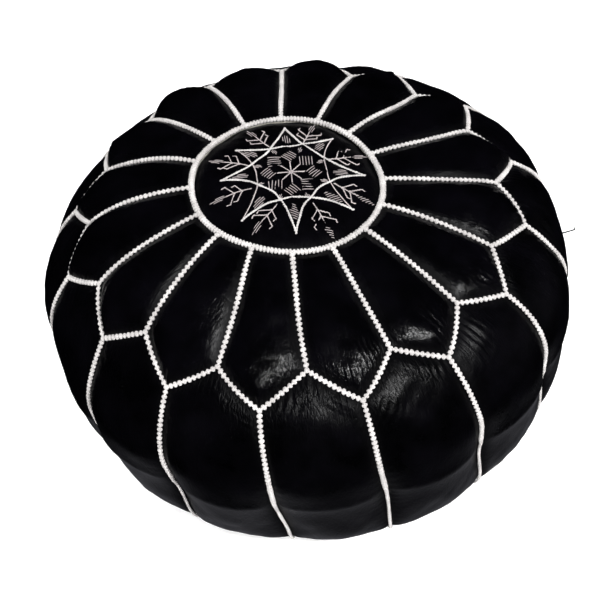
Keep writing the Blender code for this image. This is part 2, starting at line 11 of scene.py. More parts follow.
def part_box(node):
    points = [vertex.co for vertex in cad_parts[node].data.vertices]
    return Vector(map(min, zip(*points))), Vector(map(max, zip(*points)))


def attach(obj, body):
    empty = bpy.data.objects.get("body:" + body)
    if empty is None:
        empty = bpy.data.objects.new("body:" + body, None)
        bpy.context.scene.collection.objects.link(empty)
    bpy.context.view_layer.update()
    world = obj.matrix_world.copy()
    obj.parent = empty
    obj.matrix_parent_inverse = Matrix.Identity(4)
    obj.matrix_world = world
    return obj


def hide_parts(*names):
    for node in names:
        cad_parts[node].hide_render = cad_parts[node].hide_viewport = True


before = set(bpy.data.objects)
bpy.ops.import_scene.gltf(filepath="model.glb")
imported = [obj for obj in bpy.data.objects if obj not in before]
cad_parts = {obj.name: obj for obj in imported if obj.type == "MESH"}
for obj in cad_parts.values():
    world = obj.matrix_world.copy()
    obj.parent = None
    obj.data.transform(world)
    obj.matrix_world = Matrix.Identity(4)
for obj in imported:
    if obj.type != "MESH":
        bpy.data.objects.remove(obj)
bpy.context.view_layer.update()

# Cover: the same cut as the CAD part, in metres
SEAM_COUNT = 16
PITCH = 2 * math.pi / SEAM_COUNT
LEATHER = 0.0016
RING_HALF_WIDTH = 0.0032
RING_EDGE = RING_HALF_WIDTH + 0.0004
BASE_SEAM_HALF_WIDTH = 0.0022
BASE_INSET = 0.0420
MEDALLION_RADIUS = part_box("medallion_braid")[1].x - RING_HALF_WIDTH
BASE_EDGE_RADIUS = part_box("base_seam_cord")[1].x - BASE_SEAM_HALF_WIDTH
BODY_RADIUS = BASE_EDGE_RADIUS + BASE_INSET
TOP_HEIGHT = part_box("medallion")[0].z + LEATHER
MEDALLION_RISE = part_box("medallion")[1].z - TOP_HEIGHT
SHOULDER_INSET = 0.0645
SHOULDER_DROP = 0.0310
HEM_INSET = 0.0380
HEM_DROP = 0.0490
EQUATOR_HEIGHT = 0.1420
FOLD_INSET = 0.0005
FOLD_HEIGHT = 0.1150
FOOT_INSET = 0.0230
FOOT_HEIGHT = 0.0120
BASE_EDGE_HEIGHT = 0.0032

# How the stuffed cover has settled
CROWN_TIP = (0.1072, 0.0120)
BODY_LEAN = (-0.0300, -0.0015)
BODY_TWIST = -0.0155
HAND_WANDER = 0.0016
WANDER_SPAN = 0.1300

# Leather sheets
COLUMNS = 24
PETAL_ROWS = 30
SIDE_ROWS = 46
PETAL_PUFF = 0.0105
SIDE_PUFF = 0.0060
BACK_FULLNESS = 0.45
SEAM_TUCK = 0.0016
TUCK_REACH = 0.0060
TUCKED_SHADE_REACH = 0.0075
MOST_MOVE = 0.0180
PUCKER_HEIGHT = 0.0010
PUCKER_SPAN = 0.0060
PUCKER_REACH = 0.0100
SEAM_PUCKER_REACH = 0.0090
WRINKLE_HEIGHT = 0.0010
WRINKLE_SPAN = 0.0110
WRINKLE_REACH = 0.0240
DENT_HEIGHT = 0.0007
DENT_SPAN = 0.0550
SMALL_DENT_HEIGHT = 0.0003
SMALL_DENT_SPAN = 0.0220
SEAM_SLACK_REACH = 0.0120
HEM_SLACK_REACH = 0.0220
PETAL_HEM_SLACK = 0.45
SIDE_HEM_SLACK = 0.10
OPEN_FIELD_REACH = 0.0120
FOLD_RIDGE = 0.0022
FOLD_REACH = 0.0120
FOLD_ROUNDNESS = 0.0016
FOLD_CLEARANCE = 0.0400
SEAM_PINCH = 0.15

# Base and zip
BASE_FINENESS = 0.0075
BASE_LIFT = 0.0011
BASE_GATHER = 0.0005
BASE_GATHER_COUNT = 110
ZIP_FLAT_HALF = 0.0180
ZIP_ROW_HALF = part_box("zip_teeth_front")[1].x
ZIP_ROW_OFF = 0.0090
ZIP_ROW_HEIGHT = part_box("zip_tape_front")[0].z - 0.0026
ZIP_ROW_POINTS = 160

# Stuffing by cloth simulation
SIM_FRAMES = 20
SIM_QUALITY = 6
SIM_MASS = 0.002
SIM_STIFFNESS = 25
SIM_BENDING = 0.02
SIM_DAMPING = 8
SIM_SLACK = 0.10
SIM_PRESSURE = 1500
SIM_START = 0.8

# Seam threads
# How much painted shade darkens the threads' grooves
GROOVE_SHADE = 0.50
STRAND_SLANT = 0.45
BRAID_PITCH = 0.0045
BRAID_ACROSS = 0.0056
BRAID_ALONG = 0.0042
BRAID_HEIGHT = 0.0040
BRAID_CORE = 0.0012
BRAID_SLANT = 0.22
BRAID_LIFT = 0.0006
BRAID_UNEVENNESS = 0.08
LOW_SEAM_THINNING = 0.30
RADIAL_POINTS = 60
SIDE_POINTS = 110
ZIGZAG_POINTS = 40
RING_POINTS = 240
RING_PITCH = 0.0034
RING_ACROSS = 0.0066
RING_ALONG = 0.0036
RING_HEIGHT = 0.0050
RING_CORE = 0.0016
RING_SLANT = 0.10
RING_LIFT = 0.0004
BASE_SEAM_ACROSS = 0.0046
BASE_SEAM_HEIGHT = 0.0030
BASE_SEAM_CORE = 0.0013
BASE_SEAM_SLANT = 0.20
LOOSE_END_DROP = 0.0350
LOOSE_END_REACH = (0.0360, -0.0190, 0.0270)
LOOSE_END_SAG = 0.0020
LOOSE_END_HOOK = (-0.0005, 0.0015, 0.0018)
LOOSE_END_THICKNESS = 0.0017


# --- shape of the cover ------------------------------------------------------------


def smooth_step(t):
    t = np.clip(t, 0, 1)
    return t * t * (3 - 2 * t)


def ripple(points, span, seed, waves=14):
    """A smooth random height from about -1 to 1, with bumps about one span apart."""
    rng = np.random.default_rng(seed)
    directions = rng.normal(size=(waves, points.shape[-1]))
    directions /= np.linalg.norm(directions, axis=1)[:, None]
    stretch = rng.uniform(0.6, 1.5, waves)
    phases = rng.uniform(0, 2 * math.pi, waves)
    total = np.zeros(points.shape[:-1])
    for direction, factor, phase in zip(directions, stretch, phases):
        total += np.sin(points @ direction * (2 * math.pi * factor / span) + phase)
    return total / math.sqrt(waves)


class CoverLine:
    """The cover's turned outline by length from the medallion to the base, with a fold low on the side."""

    STEPS = 24
    FOLD_STATION = 4

    def __init__(self):
        stations = np.array(
            [
                (MEDALLION_RADIUS, TOP_HEIGHT),
                (BODY_RADIUS - SHOULDER_INSET, TOP_HEIGHT - SHOULDER_DROP),
                (BODY_RADIUS - HEM_INSET, TOP_HEIGHT - HEM_DROP),
                (BODY_RADIUS, EQUATOR_HEIGHT),
                (BODY_RADIUS - FOLD_INSET, FOLD_HEIGHT),
                (BODY_RADIUS - FOOT_INSET, FOOT_HEIGHT),
                (BODY_RADIUS - BASE_INSET, BASE_EDGE_HEIGHT),
            ]
        )
        steps = np.diff(stations, axis=0)
        chord = np.hypot(*steps.T)
        slope = np.gradient(stations, np.concatenate([[0], np.cumsum(chord)]), axis=0)
        slope[0] = (1, 0)
        slope[3] = (0, -1)
        leaving = slope.copy()
        leaving[self.FOLD_STATION] = steps[self.FOLD_STATION] / chord[self.FOLD_STATION]
        slope[self.FOLD_STATION] = (0.05, -1)
        points = [stations[0]]
        for span, length in enumerate(chord):
            for t in np.linspace(0, 1, self.STEPS + 1)[1:]:
                points.append(
                    (2 * t**3 - 3 * t**2 + 1) * stations[span]
                    + (t**3 - 2 * t**2 + t) * length * leaving[span]
                    + (3 * t**2 - 2 * t**3) * stations[span + 1]
                    + (t**3 - t**2) * length * slope[span + 1]
                )
        self.points = np.array(points)
        runs = np.diff(self.points, axis=0)
        self.lengths = np.concatenate([[0], np.cumsum(np.hypot(*runs.T))])
        self.shoulder = self.lengths[self.STEPS]
        self.hem = self.lengths[2 * self.STEPS]
        self.fold = self.lengths[self.FOLD_STATION * self.STEPS]
        self.end = self.lengths[-1]
        rise = self.hem - self.shoulder
        run = self.radius((self.shoulder + self.hem) / 2) * PITCH / 2
        self.mitre = math.hypot(rise, run) / run

    def radius(self, s):
        return np.interp(s, self.lengths, self.points[:, 0])

    def height(self, s):
        return np.interp(s, self.lengths, self.points[:, 1])

    def zigzag(self, angle):
        """Length at which the zigzag seam crosses this angle."""
        turn = np.abs((angle / PITCH + 0.5) % 1 - 0.5) * 2
        return self.shoulder + (self.hem - self.shoulder) * turn

    def place(self, s, angle, lift=0.0, step=0.0015):
        """Points at these lengths and angles, lifted outwards along the surface's normal."""
        s, angle, lift = np.broadcast_arrays(np.asarray(s, float), angle, lift)
        before, after = np.maximum(s - step, 0), np.minimum(s + step, self.end)
        across = self.radius(after) - self.radius(before)
        down = self.height(after) - self.height(before)
        size = np.hypot(across, down)
        r = self.radius(s) - down / size * lift
        z = self.height(s) + across / size * lift
        return np.stack([r * np.cos(angle), r * np.sin(angle), z], axis=-1)


LINE = CoverLine()


def settle(points):
    """The stuffed shape after use: the crown tips, the body leans and turns, and hand sewing wanders."""
    points = np.array(points, float)
    radius = np.hypot(points[..., 0], points[..., 1])
    height = np.clip(points[..., 2] / TOP_HEIGHT, 0, 1.1)
    crown = 1 - smooth_step((radius - MEDALLION_RADIUS) / (BODY_RADIUS - MEDALLION_RADIUS))
    tip = -(points[..., 0] * CROWN_TIP[0] + points[..., 1] * CROWN_TIP[1])
    free = smooth_step(height * 4)
    moved = points.copy()
    moved[..., 2] += crown * smooth_step(height * 1.2) * tip
    for axis in range(3):
        moved[..., axis] += HAND_WANDER * free * ripple(points, WANDER_SPAN, 31 + axis)
    moved[..., 0] += BODY_LEAN[0] * points[..., 2]
    moved[..., 1] += BODY_LEAN[1] * points[..., 2]
    twist = BODY_TWIST * height
    x, y = moved[..., 0].copy(), moved[..., 1].copy()
    moved[..., 0] = x * np.cos(twist) - y * np.sin(twist)
    moved[..., 1] = x * np.sin(twist) + y * np.cos(twist)
    return moved


def settled_with_normals(low, high):
    """Settled points, and the directions from them to settled points just above."""
    base = settle(low)
    normal = settle(high) - base
    return base, normal / np.linalg.norm(normal, axis=-1)[..., None]


def crown_height(radius):
    edge = MEDALLION_RADIUS - RING_EDGE
    return TOP_HEIGHT + MEDALLION_RISE * (1 - (radius / edge) ** 2)


def seam_angle(number):
    """Angle of radial seam 1 to 16: the first is at the back, and they count clockwise from above."""
    return math.pi / 2 - (number - 1) * PITCH


# --- looks -------------------------------------------------------------------------


class Wire:
    """A socket in a material that takes part in sums."""

    def __init__(self, look, socket):
        self.look = look
        self.socket = socket

    def maths(self, operation, first, second):
        return self.look.node("ShaderNodeMath", {"operation": operation}, {0: first, 1: second})

    def __add__(self, other):
        return self.maths("ADD", self, other)

    def __sub__(self, other):
        return self.maths("SUBTRACT", self, other)

    def __mul__(self, other):
        return self.maths("MULTIPLY", self, other)


class Look:
    """One material: its nodes, made and joined in one line each."""

    def __init__(self, name, **constants):
        self.material = bpy.data.materials.new(name)
        self.material.use_nodes = True
        self.tree = self.material.node_tree
        self.shader = self.tree.nodes["Principled BSDF"]
        for socket, value in constants.items():
            self.shader.inputs[socket.replace("_", " ")].default_value = value

    def feed(self, socket, value):
        if isinstance(value, Wire):
            self.tree.links.new(value.socket, socket)
        else:
            socket.default_value = value

    def node(self, kind, settings=None, inputs=None, output=0):
        made = self.tree.nodes.new(kind)
        for key, value in (settings or {}).items():
            setattr(made, key, value)
        for key, value in (inputs or {}).items():
            self.feed(made.inputs[key], value)
        return Wire(self, made.outputs[output])

    def place(self):
        return self.node("ShaderNodeTexCoord", output="Object")

    def uv(self, name):
        return self.node("ShaderNodeUVMap", {"uv_map": name})

    def attribute(self, name, output="Fac"):
        return self.node("ShaderNodeAttribute", {"attribute_name": name}, output=output)

    def length(self, vector):
        return self.node("ShaderNodeVectorMath", {"operation": "LENGTH"}, {0: vector}, output=1)

    def stretched(self, vector, scale):
        return self.node("ShaderNodeMapping", {}, {"Vector": vector, "Scale": scale})

    def noise(self, vector, scale, detail=3.0, roughness=0.55, distortion=0.0):
        settings = {"Vector": vector, "Scale": scale, "Detail": detail, "Roughness": roughness}
        return self.node("ShaderNodeTexNoise", {}, {**settings, "Distortion": distortion})

    def cells(self, vector, scale, feature="F1"):
        return self.node("ShaderNodeTexVoronoi", {"feature": feature}, {"Vector": vector, "Scale": scale})

    def waves(self, vector, scale, distortion=0.0):
        inputs = {"Vector": vector, "Scale": scale, "Distortion": distortion}
        return self.node("ShaderNodeTexWave", {}, inputs)

    def range(self, value, low, high, new_low=0, new_high=1):
        inputs = {0: value, 1: low, 2: high, 3: new_low, 4: new_high}
        return self.node("ShaderNodeMapRange", {}, inputs)

    def blend(self, factor, first, second):
        inputs = {0: factor, 6: (*first, 1), 7: (*second, 1)}
        return self.node("ShaderNodeMix", {"data_type": "RGBA"}, inputs, output=2)

    def bump(self, height, distance, strength=1.0):
        inputs = {"Height": height, "Distance": distance, "Strength": strength}
        self.finish(Normal=self.node("ShaderNodeBump", {}, inputs))

    def finish(self, **inputs):
        for socket, value in inputs.items():
            self.feed(self.shader.inputs[socket.replace("_", " ")], value)


def polished_leather(name, tint, deep, rough_low, rough_high, crackle, shine=0.14):
    """Black goat leather: fine pores, thin creases where it was pulled, and hand-rubbed patches of shine."""
    look = Look(name, Specular_IOR_Level=shine)
    place = look.place()
    grain = look.uv("grain")
    pores = look.cells(place, 1300)
    skin = look.noise(place, 420, detail=4, roughness=0.6)
    creases = look.noise(look.stretched(grain, (420, 90, 1)), 1, detail=4, roughness=0.6, distortion=0.6)
    rubbed = look.noise(place, 22, detail=3, roughness=0.6)
    pulled = look.attribute("pulled")
    tucked = look.attribute("tucked")
    network = look.cells(look.stretched(grain, (330, 120, 1)), 1, "DISTANCE_TO_EDGE")
    cracks = look.range(network, 0, 0.16)
    height = pores * 0.03 + skin * 0.10
    height = height + creases * (pulled * crackle + 0.10)
    height = height + cracks * (pulled * 0.14 + 0.02)
    look.bump(height, distance=0.0012, strength=0.8)
    look.finish(
        Base_Color=look.blend(look.range(rubbed, 0.35, 0.65), deep, tint),
        Roughness=look.range(rubbed + skin * 0.3, 0.45, 0.85, rough_low, rough_high) + tucked * 0.35,
    )
    return look.material


def seam_thread(name, pale, shade, roughness):
    """Waxed cotton: twisted strands along each stitch, a little soiled at random, with painted shade that
    darkens each stitch towards its outside and darkens the core cord.
    """
    look = Look(name, Specular_IOR_Level=0.25, Sheen_Weight=0.15)
    strand = look.attribute("strand", "Vector")
    place = look.place()
    slanted = {"Vector": strand, "Rotation": (0, 0, STRAND_SLANT), "Scale": (1, 0.4, 1)}
    plies = look.waves(look.node("ShaderNodeMapping", {}, slanted), 2.6, distortion=0.5)
    # Painted shade: darker the farther a point lies from its stitch's middle, standing in for the shade in
    # the grooves.
    painted_groove_shade = look.range(look.length(strand), 0.34, 0.52)
    fluff = look.noise(place, 2600, detail=3, roughness=0.6)
    soil = look.noise(place, 60, detail=3, roughness=0.6)
    look.bump(plies * 0.6 + fluff * 0.4, distance=0.0005, strength=0.6)
    # The colour mixes ply stripes and random soil, less the painted groove shade.
    clean_and_unshaded = look.range(plies * 0.35 + soil * 0.65 - painted_groove_shade * GROOVE_SHADE, 0.1, 0.5)
    look.finish(
        Base_Color=look.blend(clean_and_unshaded, shade, pale),
        Roughness=look.range(fluff, 0.3, 0.7, roughness - 0.08, roughness + 0.08),
    )
    return look.material


def woven_cloth(name, pale, shade, threads):
    """Plain weave seen from outside: two sets of threads crossing, with slubs; the hollows between crossings
    are painted with shade.
    """
    look = Look(name, Specular_IOR_Level=0.2)
    place = look.place()
    along = look.node("ShaderNodeTexWave", {"bands_direction": "X"}, {"Vector": place, "Scale": threads})
    across = look.node("ShaderNodeTexWave", {"bands_direction": "Y"}, {"Vector": place, "Scale": threads})
    slubs = look.noise(place, 90, detail=3, roughness=0.6)
    look.bump(along * across + slubs * 0.3, distance=0.0003, strength=0.7)
    # Painted shade: raised crossings lighter, hollows darker, plus random slub tone.
    lit_crossings_and_slubs = look.range(along * across * 0.6 + slubs * 0.6, 0.2, 0.8)
    look.finish(
        Base_Color=look.blend(lit_crossings_and_slubs, shade, pale),
        Roughness=look.range(slubs, 0.3, 0.7, 0.78, 0.92),
    )
    return look.material


def fibre_wadding(name):
    look = Look(name, Specular_IOR_Level=0.1)
    place = look.place()
    tufts = look.noise(place, 45, detail=5, roughness=0.7, distortion=1.2)
    fibres = look.noise(look.stretched(place, (1, 4, 2)), 700, detail=3, roughness=0.7)
    look.bump(tufts * 0.7 + fibres * 0.3, distance=0.004, strength=0.8)
    look.finish(
        Base_Color=look.blend(look.range(tufts, 0.35, 0.65), (0.62, 0.60, 0.56), (0.86, 0.85, 0.82)),
        Roughness=look.range(fibres, 0.3, 0.7, 0.85, 0.95),
    )
    return look.material


def worn_zip_metal(name):
    """Antique zip metal: brown in the hollows, rubbed brighter on its edges, with fine scratches."""
    look = Look(name, Metallic=1.0)
    place = look.place()
    tarnish = look.noise(place, 260, detail=4, roughness=0.65)
    scratches = look.noise(look.stretched(place, (1, 14, 14)), 420, detail=3, roughness=0.6)
    rubbed = look.range(tarnish * 0.7 + scratches * 0.3, 0.38, 0.62)
    look.bump(scratches * 0.5 + tarnish * 0.5, distance=0.0001, strength=0.5)
    look.finish(
        Base_Color=look.blend(rubbed, (0.22, 0.17, 0.11), (0.58, 0.51, 0.41)),
        Roughness=look.range(tarnish, 0.35, 0.65, 0.28, 0.5),
    )
    return look.material


BLACK_TINT = (0.0007, 0.0006, 0.0011)
BLACK_DEEP = (0.0002, 0.0002, 0.0003)
BASE_TINT = (0.0100, 0.0092, 0.0105)
BASE_DEEP = (0.0050, 0.0046, 0.0052)
PETAL_LOOK = polished_leather("polished black leather", BLACK_TINT, BLACK_DEEP, 0.15, 0.26, 0.65)
SIDE_LOOK = polished_leather("less rubbed black leather", BLACK_TINT, BLACK_DEEP, 0.25, 0.38, 0.50, 0.08)
MEDALLION_LOOK = polished_leather("medallion leather", BLACK_TINT, BLACK_DEEP, 0.28, 0.42, 0.4, 0.05)
BASE_LOOK = polished_leather("base leather", BASE_TINT, BASE_DEEP, 0.42, 0.60, 0.5, 0.30)
BRAID_LOOK = seam_thread("cream seam thread", (0.76, 0.74, 0.72), (0.30, 0.285, 0.28), 0.62)
FINE_LOOK = seam_thread("embroidery thread", (0.55, 0.49, 0.485), (0.24, 0.21, 0.21), 0.58)
STUB_LOOK = seam_thread("grey thread end", (0.060, 0.058, 0.060), (0.030, 0.030, 0.031), 0.7)
LINER_LOOK = woven_cloth("liner cotton", (0.74, 0.71, 0.64), (0.56, 0.53, 0.46), 900)
TAPE_LOOK = woven_cloth("black zip tape", (0.030, 0.030, 0.032), (0.010, 0.010, 0.011), 1100)
WADDING_LOOK = fibre_wadding("fibre wadding")
METAL_LOOK = worn_zip_metal("antique zip metal")


# --- leather sheets ----------------------------------------------------------------


def linked(name, data):
    """An object that shows this mesh, camera or light, put into the scene."""
    made = bpy.data.objects.new(name, data)
    bpy.context.scene.collection.objects.link(made)
    return made


def new_object(name, vertices, faces, edges=()):
    mesh = bpy.data.meshes.new(name)
    mesh.from_pydata([tuple(p) for p in vertices], list(edges), [tuple(f) for f in faces])
    mesh.update()
    return linked(name, mesh)


def round_quads(index):
    """Faces between rows of points that each close into a ring."""
    around = np.roll(index, -1, axis=1)
    return np.stack([index[:-1], index[1:], around[1:], around[:-1]], axis=-1).reshape(-1, 4)


def finished(piece, look, slot, *nodes, body="cover", fill=None):
    """Give a piece its leather or thread, hide the CAD parts it stands for, and make it move with its body.
    """
    piece.data.materials.clear()
    piece.data.materials.append(look)
    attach(piece, body)
    if nodes:
        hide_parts(*nodes)
    return piece


def cover_grid(fineness):
    """The whole cover as rows and columns: lengths, angles, a first puff, and distances from the seams."""
    turn = np.arange(SEAM_COUNT * COLUMNS * fineness) * PITCH / (COLUMNS * fineness)
    zigzag = LINE.zigzag(turn)
    petal_share = np.linspace(0, 1, PETAL_ROWS * fineness + 1)[:, None]
    side_share = np.linspace(0, 1, SIDE_ROWS * fineness + 1)[1:, None]
    s = np.concatenate([petal_share * zigzag, zigzag + side_share * (LINE.end - zigzag)])
    angle = np.broadcast_to(turn, s.shape)
    off_petal_seam = np.abs((angle / PITCH + 0.5) % 1 - 0.5) * 2
    on_petal = np.arange(len(s))[:, None] <= PETAL_ROWS * fineness
    u = np.where(on_petal, off_petal_seam, 1 - off_petal_seam)
    share = np.concatenate([petal_share, side_share])
    fullest_low = share**1.5 * (1 - share**8) ** 0.7 / 0.70
    fullest_high = (1 - np.exp(-share / 0.22)) * (1 - 0.6 * share**2) * (1 - share**8)
    panel = np.floor(np.where(on_petal, angle / PITCH, angle / PITCH + 0.5))
    fullness = 1 + 0.18 * np.sin(panel * 2.4 + 1.0) + BACK_FULLNESS * (0.5 + 0.5 * np.sin(angle))
    puff = fullness * np.where(on_petal, PETAL_PUFF * fullest_low, SIDE_PUFF * fullest_high)
    lift = puff * (1 - (1 - u) ** 2.2)
    beside = u * PITCH / 2 * LINE.radius(s)
    zig_gap = np.abs(s - zigzag) / LINE.mitre
    end_gap = np.where(on_petal, s, LINE.end - s)
    return s, angle, lift, beside, zig_gap, end_gap


def swell(points, sewn, slack):
    """Cloth simulation of the cover: held along its seams, a little slack, and blown up from inside."""
    rows, columns = points.shape[:2]
    index = np.arange(rows * columns).reshape(rows, columns)
    cover = new_object("cover being stuffed", points.reshape(-1, 3), round_quads(index).tolist())
    held = cover.vertex_groups.new(name="sewn")
    held.add([int(v) for v in index[sewn]], 1.0, "REPLACE")
    longer = cover.vertex_groups.new(name="slack")
    for vertex, weight in zip(index.ravel(), slack.ravel()):
        longer.add([int(vertex)], float(weight), "REPLACE")
    cloth = cover.modifiers.new("stuffing", "CLOTH")
    settings = cloth.settings
    settings.quality = SIM_QUALITY
    settings.mass = SIM_MASS
    settings.tension_stiffness = SIM_STIFFNESS
    settings.compression_stiffness = SIM_STIFFNESS
    settings.shear_stiffness = SIM_STIFFNESS / 2
    settings.bending_stiffness = SIM_BENDING
    settings.tension_damping = SIM_DAMPING
    settings.compression_damping = SIM_DAMPING
    settings.shear_damping = SIM_DAMPING
    settings.vertex_group_mass = "sewn"
    settings.vertex_group_shrink = "slack"
    settings.shrink_min = 0.0
    settings.shrink_max = -SIM_SLACK
    settings.use_pressure = True
    settings.uniform_pressure_force = SIM_PRESSURE
    settings.effector_weights.gravity = 0
    cloth.collision_settings.use_collision = False
    cloth.point_cache.frame_start = 1
    cloth.point_cache.frame_end = SIM_FRAMES
    for step in range(1, SIM_FRAMES + 1):
        bpy.context.scene.frame_set(step)
    evaluated = cover.evaluated_get(bpy.context.evaluated_depsgraph_get())
    result = np.zeros(rows * columns * 3, np.float32)
    evaluated.data.vertices.foreach_get("co", result)
    bpy.context.scene.frame_set(1)
    bpy.data.objects.remove(cover)
    return result.reshape(points.shape).astype(float)


def normals_of(points):
    """Outward normals of a grid of points."""
    normal = np.cross(np.gradient(points, axis=0), np.gradient(points, axis=1))
    return normal / np.linalg.norm(normal, axis=-1)[..., None]


def finer(values, axis, closed):
    """Twice as many points along one axis, curving smoothly through the old ones."""
    values = np.moveaxis(values, axis, 0)
    if closed:
        before = np.roll(values, 1, 0)
        after = np.roll(values, -1, 0)
        beyond = np.roll(values, -2, 0)
        middle = (9 * (values + after) - before - beyond) / 16
        woven = np.stack([values, middle], axis=1).reshape(-1, *values.shape[1:])
    else:
        ends = np.concatenate([2 * values[:1] - values[1:2], values, 2 * values[-1:] - values[-2:-1]])
        middle = (9 * (ends[1:-2] + ends[2:-1]) - ends[:-3] - ends[3:]) / 16
        woven = np.empty((2 * len(values) - 1, *values.shape[1:]))
        woven[::2] = values
        woven[1::2] = middle
    return np.moveaxis(woven, 0, axis)


def finer_cover(values):
    """Twice as fine both ways, with the zigzag seam left sharp."""
    values = finer(values, 1, closed=True)
    petals = finer(values[: PETAL_ROWS + 1], 0, closed=False)
    sides = finer(values[PETAL_ROWS:], 0, closed=False)
    return np.concatenate([petals, sides[1:]])


def stuffed_move():
    """How far each point of the coarse cover moves when it is stuffed."""
    s, angle, lift, beside, zig_gap, end_gap = cover_grid(1)
    flat = LINE.place(s, angle, 0.0)
    near = np.minimum(np.minimum(beside, zig_gap), end_gap)
    move = LINE.place(s, angle, lift) - flat
    gathered_hem = np.where(np.arange(len(s)) <= PETAL_ROWS, PETAL_HEM_SLACK, SIDE_HEM_SLACK)[:, None]
    at_seam = np.exp(-near / SEAM_SLACK_REACH)
    at_hem = np.exp(-zig_gap / HEM_SLACK_REACH)
    slack = np.clip(0.2 + 0.5 * at_seam + gathered_hem * at_hem, 0, 1)
    move = swell(flat + SIM_START * move, near < 1e-6, slack) - flat
    size = np.linalg.norm(move, axis=-1)[..., None]
    return move * (MOST_MOVE * np.tanh(size / MOST_MOVE) / np.maximum(size, 1e-9))


def gathers(flat, s, angle, beside, zig_gap, patch):
    """Height of the puckers and wrinkles that sewing draws up along the zigzag and beside the other seams."""
    along = 2 * math.pi * angle * LINE.radius(s)
    phase = along / PUCKER_SPAN + 2.5 * ripple(flat, 0.05, 11)
    height = PUCKER_HEIGHT * np.sin(phase) * np.exp(-zig_gap / PUCKER_REACH) * patch
    phase = along / WRINKLE_SPAN + 4.0 * ripple(flat, 0.06, 13)
    wrinkled = smooth_step(ripple(flat, 0.05, 15) + 0.3)
    height += WRINKLE_HEIGHT * np.sin(phase) * np.exp(-zig_gap / WRINKLE_REACH) * wrinkled
    phase = 2 * math.pi * s / (PUCKER_SPAN * 1.5) + 3.0 * ripple(flat, 0.06, 12)
    height += 0.4 * PUCKER_HEIGHT * np.sin(phase) * np.exp(-beside / SEAM_PUCKER_REACH) * patch
    return height


def leather_sheets():
    """Every point of the stuffed cover's outer face: place, length, how pulled and how tucked it is."""
    move = finer_cover(stuffed_move())
    s, angle, _, beside, zig_gap, end_gap = cover_grid(2)
    flat = LINE.place(s, angle, 0.0)
    near = np.minimum(np.minimum(beside, zig_gap), end_gap)
    normal = (LINE.place(s, angle, 1e-3) - flat) / 1e-3
    patch = np.clip(0.5 + 0.6 * ripple(flat, 0.08, 7), 0, 1.4)
    pucker = gathers(flat, s, angle, beside, zig_gap, patch)
    off_fold = 1 - np.exp(-(((s - LINE.fold) / FOLD_CLEARANCE) ** 2))
    dents = DENT_HEIGHT * ripple(flat, DENT_SPAN, 3) + SMALL_DENT_HEIGHT * ripple(flat, SMALL_DENT_SPAN, 5)
    open_field = 1 - np.exp(-((near / OPEN_FIELD_REACH) ** 2))
    tuck = SEAM_TUCK * np.exp(-((near / TUCK_REACH) ** 2))
    from_fold = s - LINE.fold - 0.0010 * ripple(flat, 0.16, 14)
    ridge = FOLD_RIDGE * np.exp(-np.hypot(from_fold, FOLD_ROUNDNESS) / FOLD_REACH)
    lift = (dents * off_fold + ridge) * open_field + pucker * smooth_step(near / 0.004) - tuck
    points = settle(flat + move + normal * lift[..., None])
    pulled = np.clip(0.35 + 0.8 * np.exp(-zig_gap / WRINKLE_REACH) * patch, 0, 1)
    tucked = np.exp(-((near / TUCKED_SHADE_REACH) ** 2))
    return points, s, pulled, tucked


def mark_hide(mesh, grain, pulled, tucked):
    """Write onto a leather mesh where its points lie in the hide, how pulled and how tucked they are."""
    uv = mesh.uv_layers.new(name="grain")
    corners = np.zeros(len(mesh.loops), np.int32)
    mesh.loops.foreach_get("vertex_index", corners)
    uv.data.foreach_set("uv", np.asarray(grain)[corners].astype(np.float32).ravel())
    for label, values in (("pulled", pulled), ("tucked", tucked)):
        attribute = mesh.attributes.new(label, "FLOAT", "POINT")
        values = np.broadcast_to(np.asarray(values, np.float32), len(mesh.vertices))
        attribute.data.foreach_set("value", np.ascontiguousarray(values))


def leather_panel(name, points, grain, pulled, tucked):
    """One sheet cut from the cover: outer face, the same face one thickness inside, and its edge."""
    points = points.copy()
    for edge, inside in ((np.s_[0], np.s_[1]), (np.s_[-1], np.s_[-2])):
        points[edge] += (points[inside] - points[edge]) * SEAM_PINCH
        points[:, edge] += (points[:, inside] - points[:, edge]) * SEAM_PINCH
    inner = points - normals_of(points) * LEATHER
    rows, columns = points.shape[:2]
    count = rows * columns
    index = np.arange(count).reshape(rows, columns)
    corners = [index[:-1, :-1], index[1:, :-1], index[1:, 1:], index[:-1, 1:]]
    quads = np.stack(corners, axis=-1).reshape(-1, 4)
    rim = np.concatenate([index[0, :-1], index[:-1, -1], index[-1, :0:-1], index[:0:-1, 0]])
    after = np.roll(rim, -1)
    edge = np.stack([rim, after, after + count, rim + count], axis=-1)
    faces = np.concatenate([quads, quads[:, ::-1] + count, edge])
    vertices = np.concatenate([points.reshape(-1, 3), inner.reshape(-1, 3)])
    panel = new_object(name, vertices, faces.tolist())
    panel.data.shade_smooth()
    both_faces = np.tile(grain.reshape(-1, 2), (2, 1))
    mark_hide(panel.data, both_faces, np.tile(pulled.ravel(), 2), np.tile(tucked.ravel(), 2))
    return panel


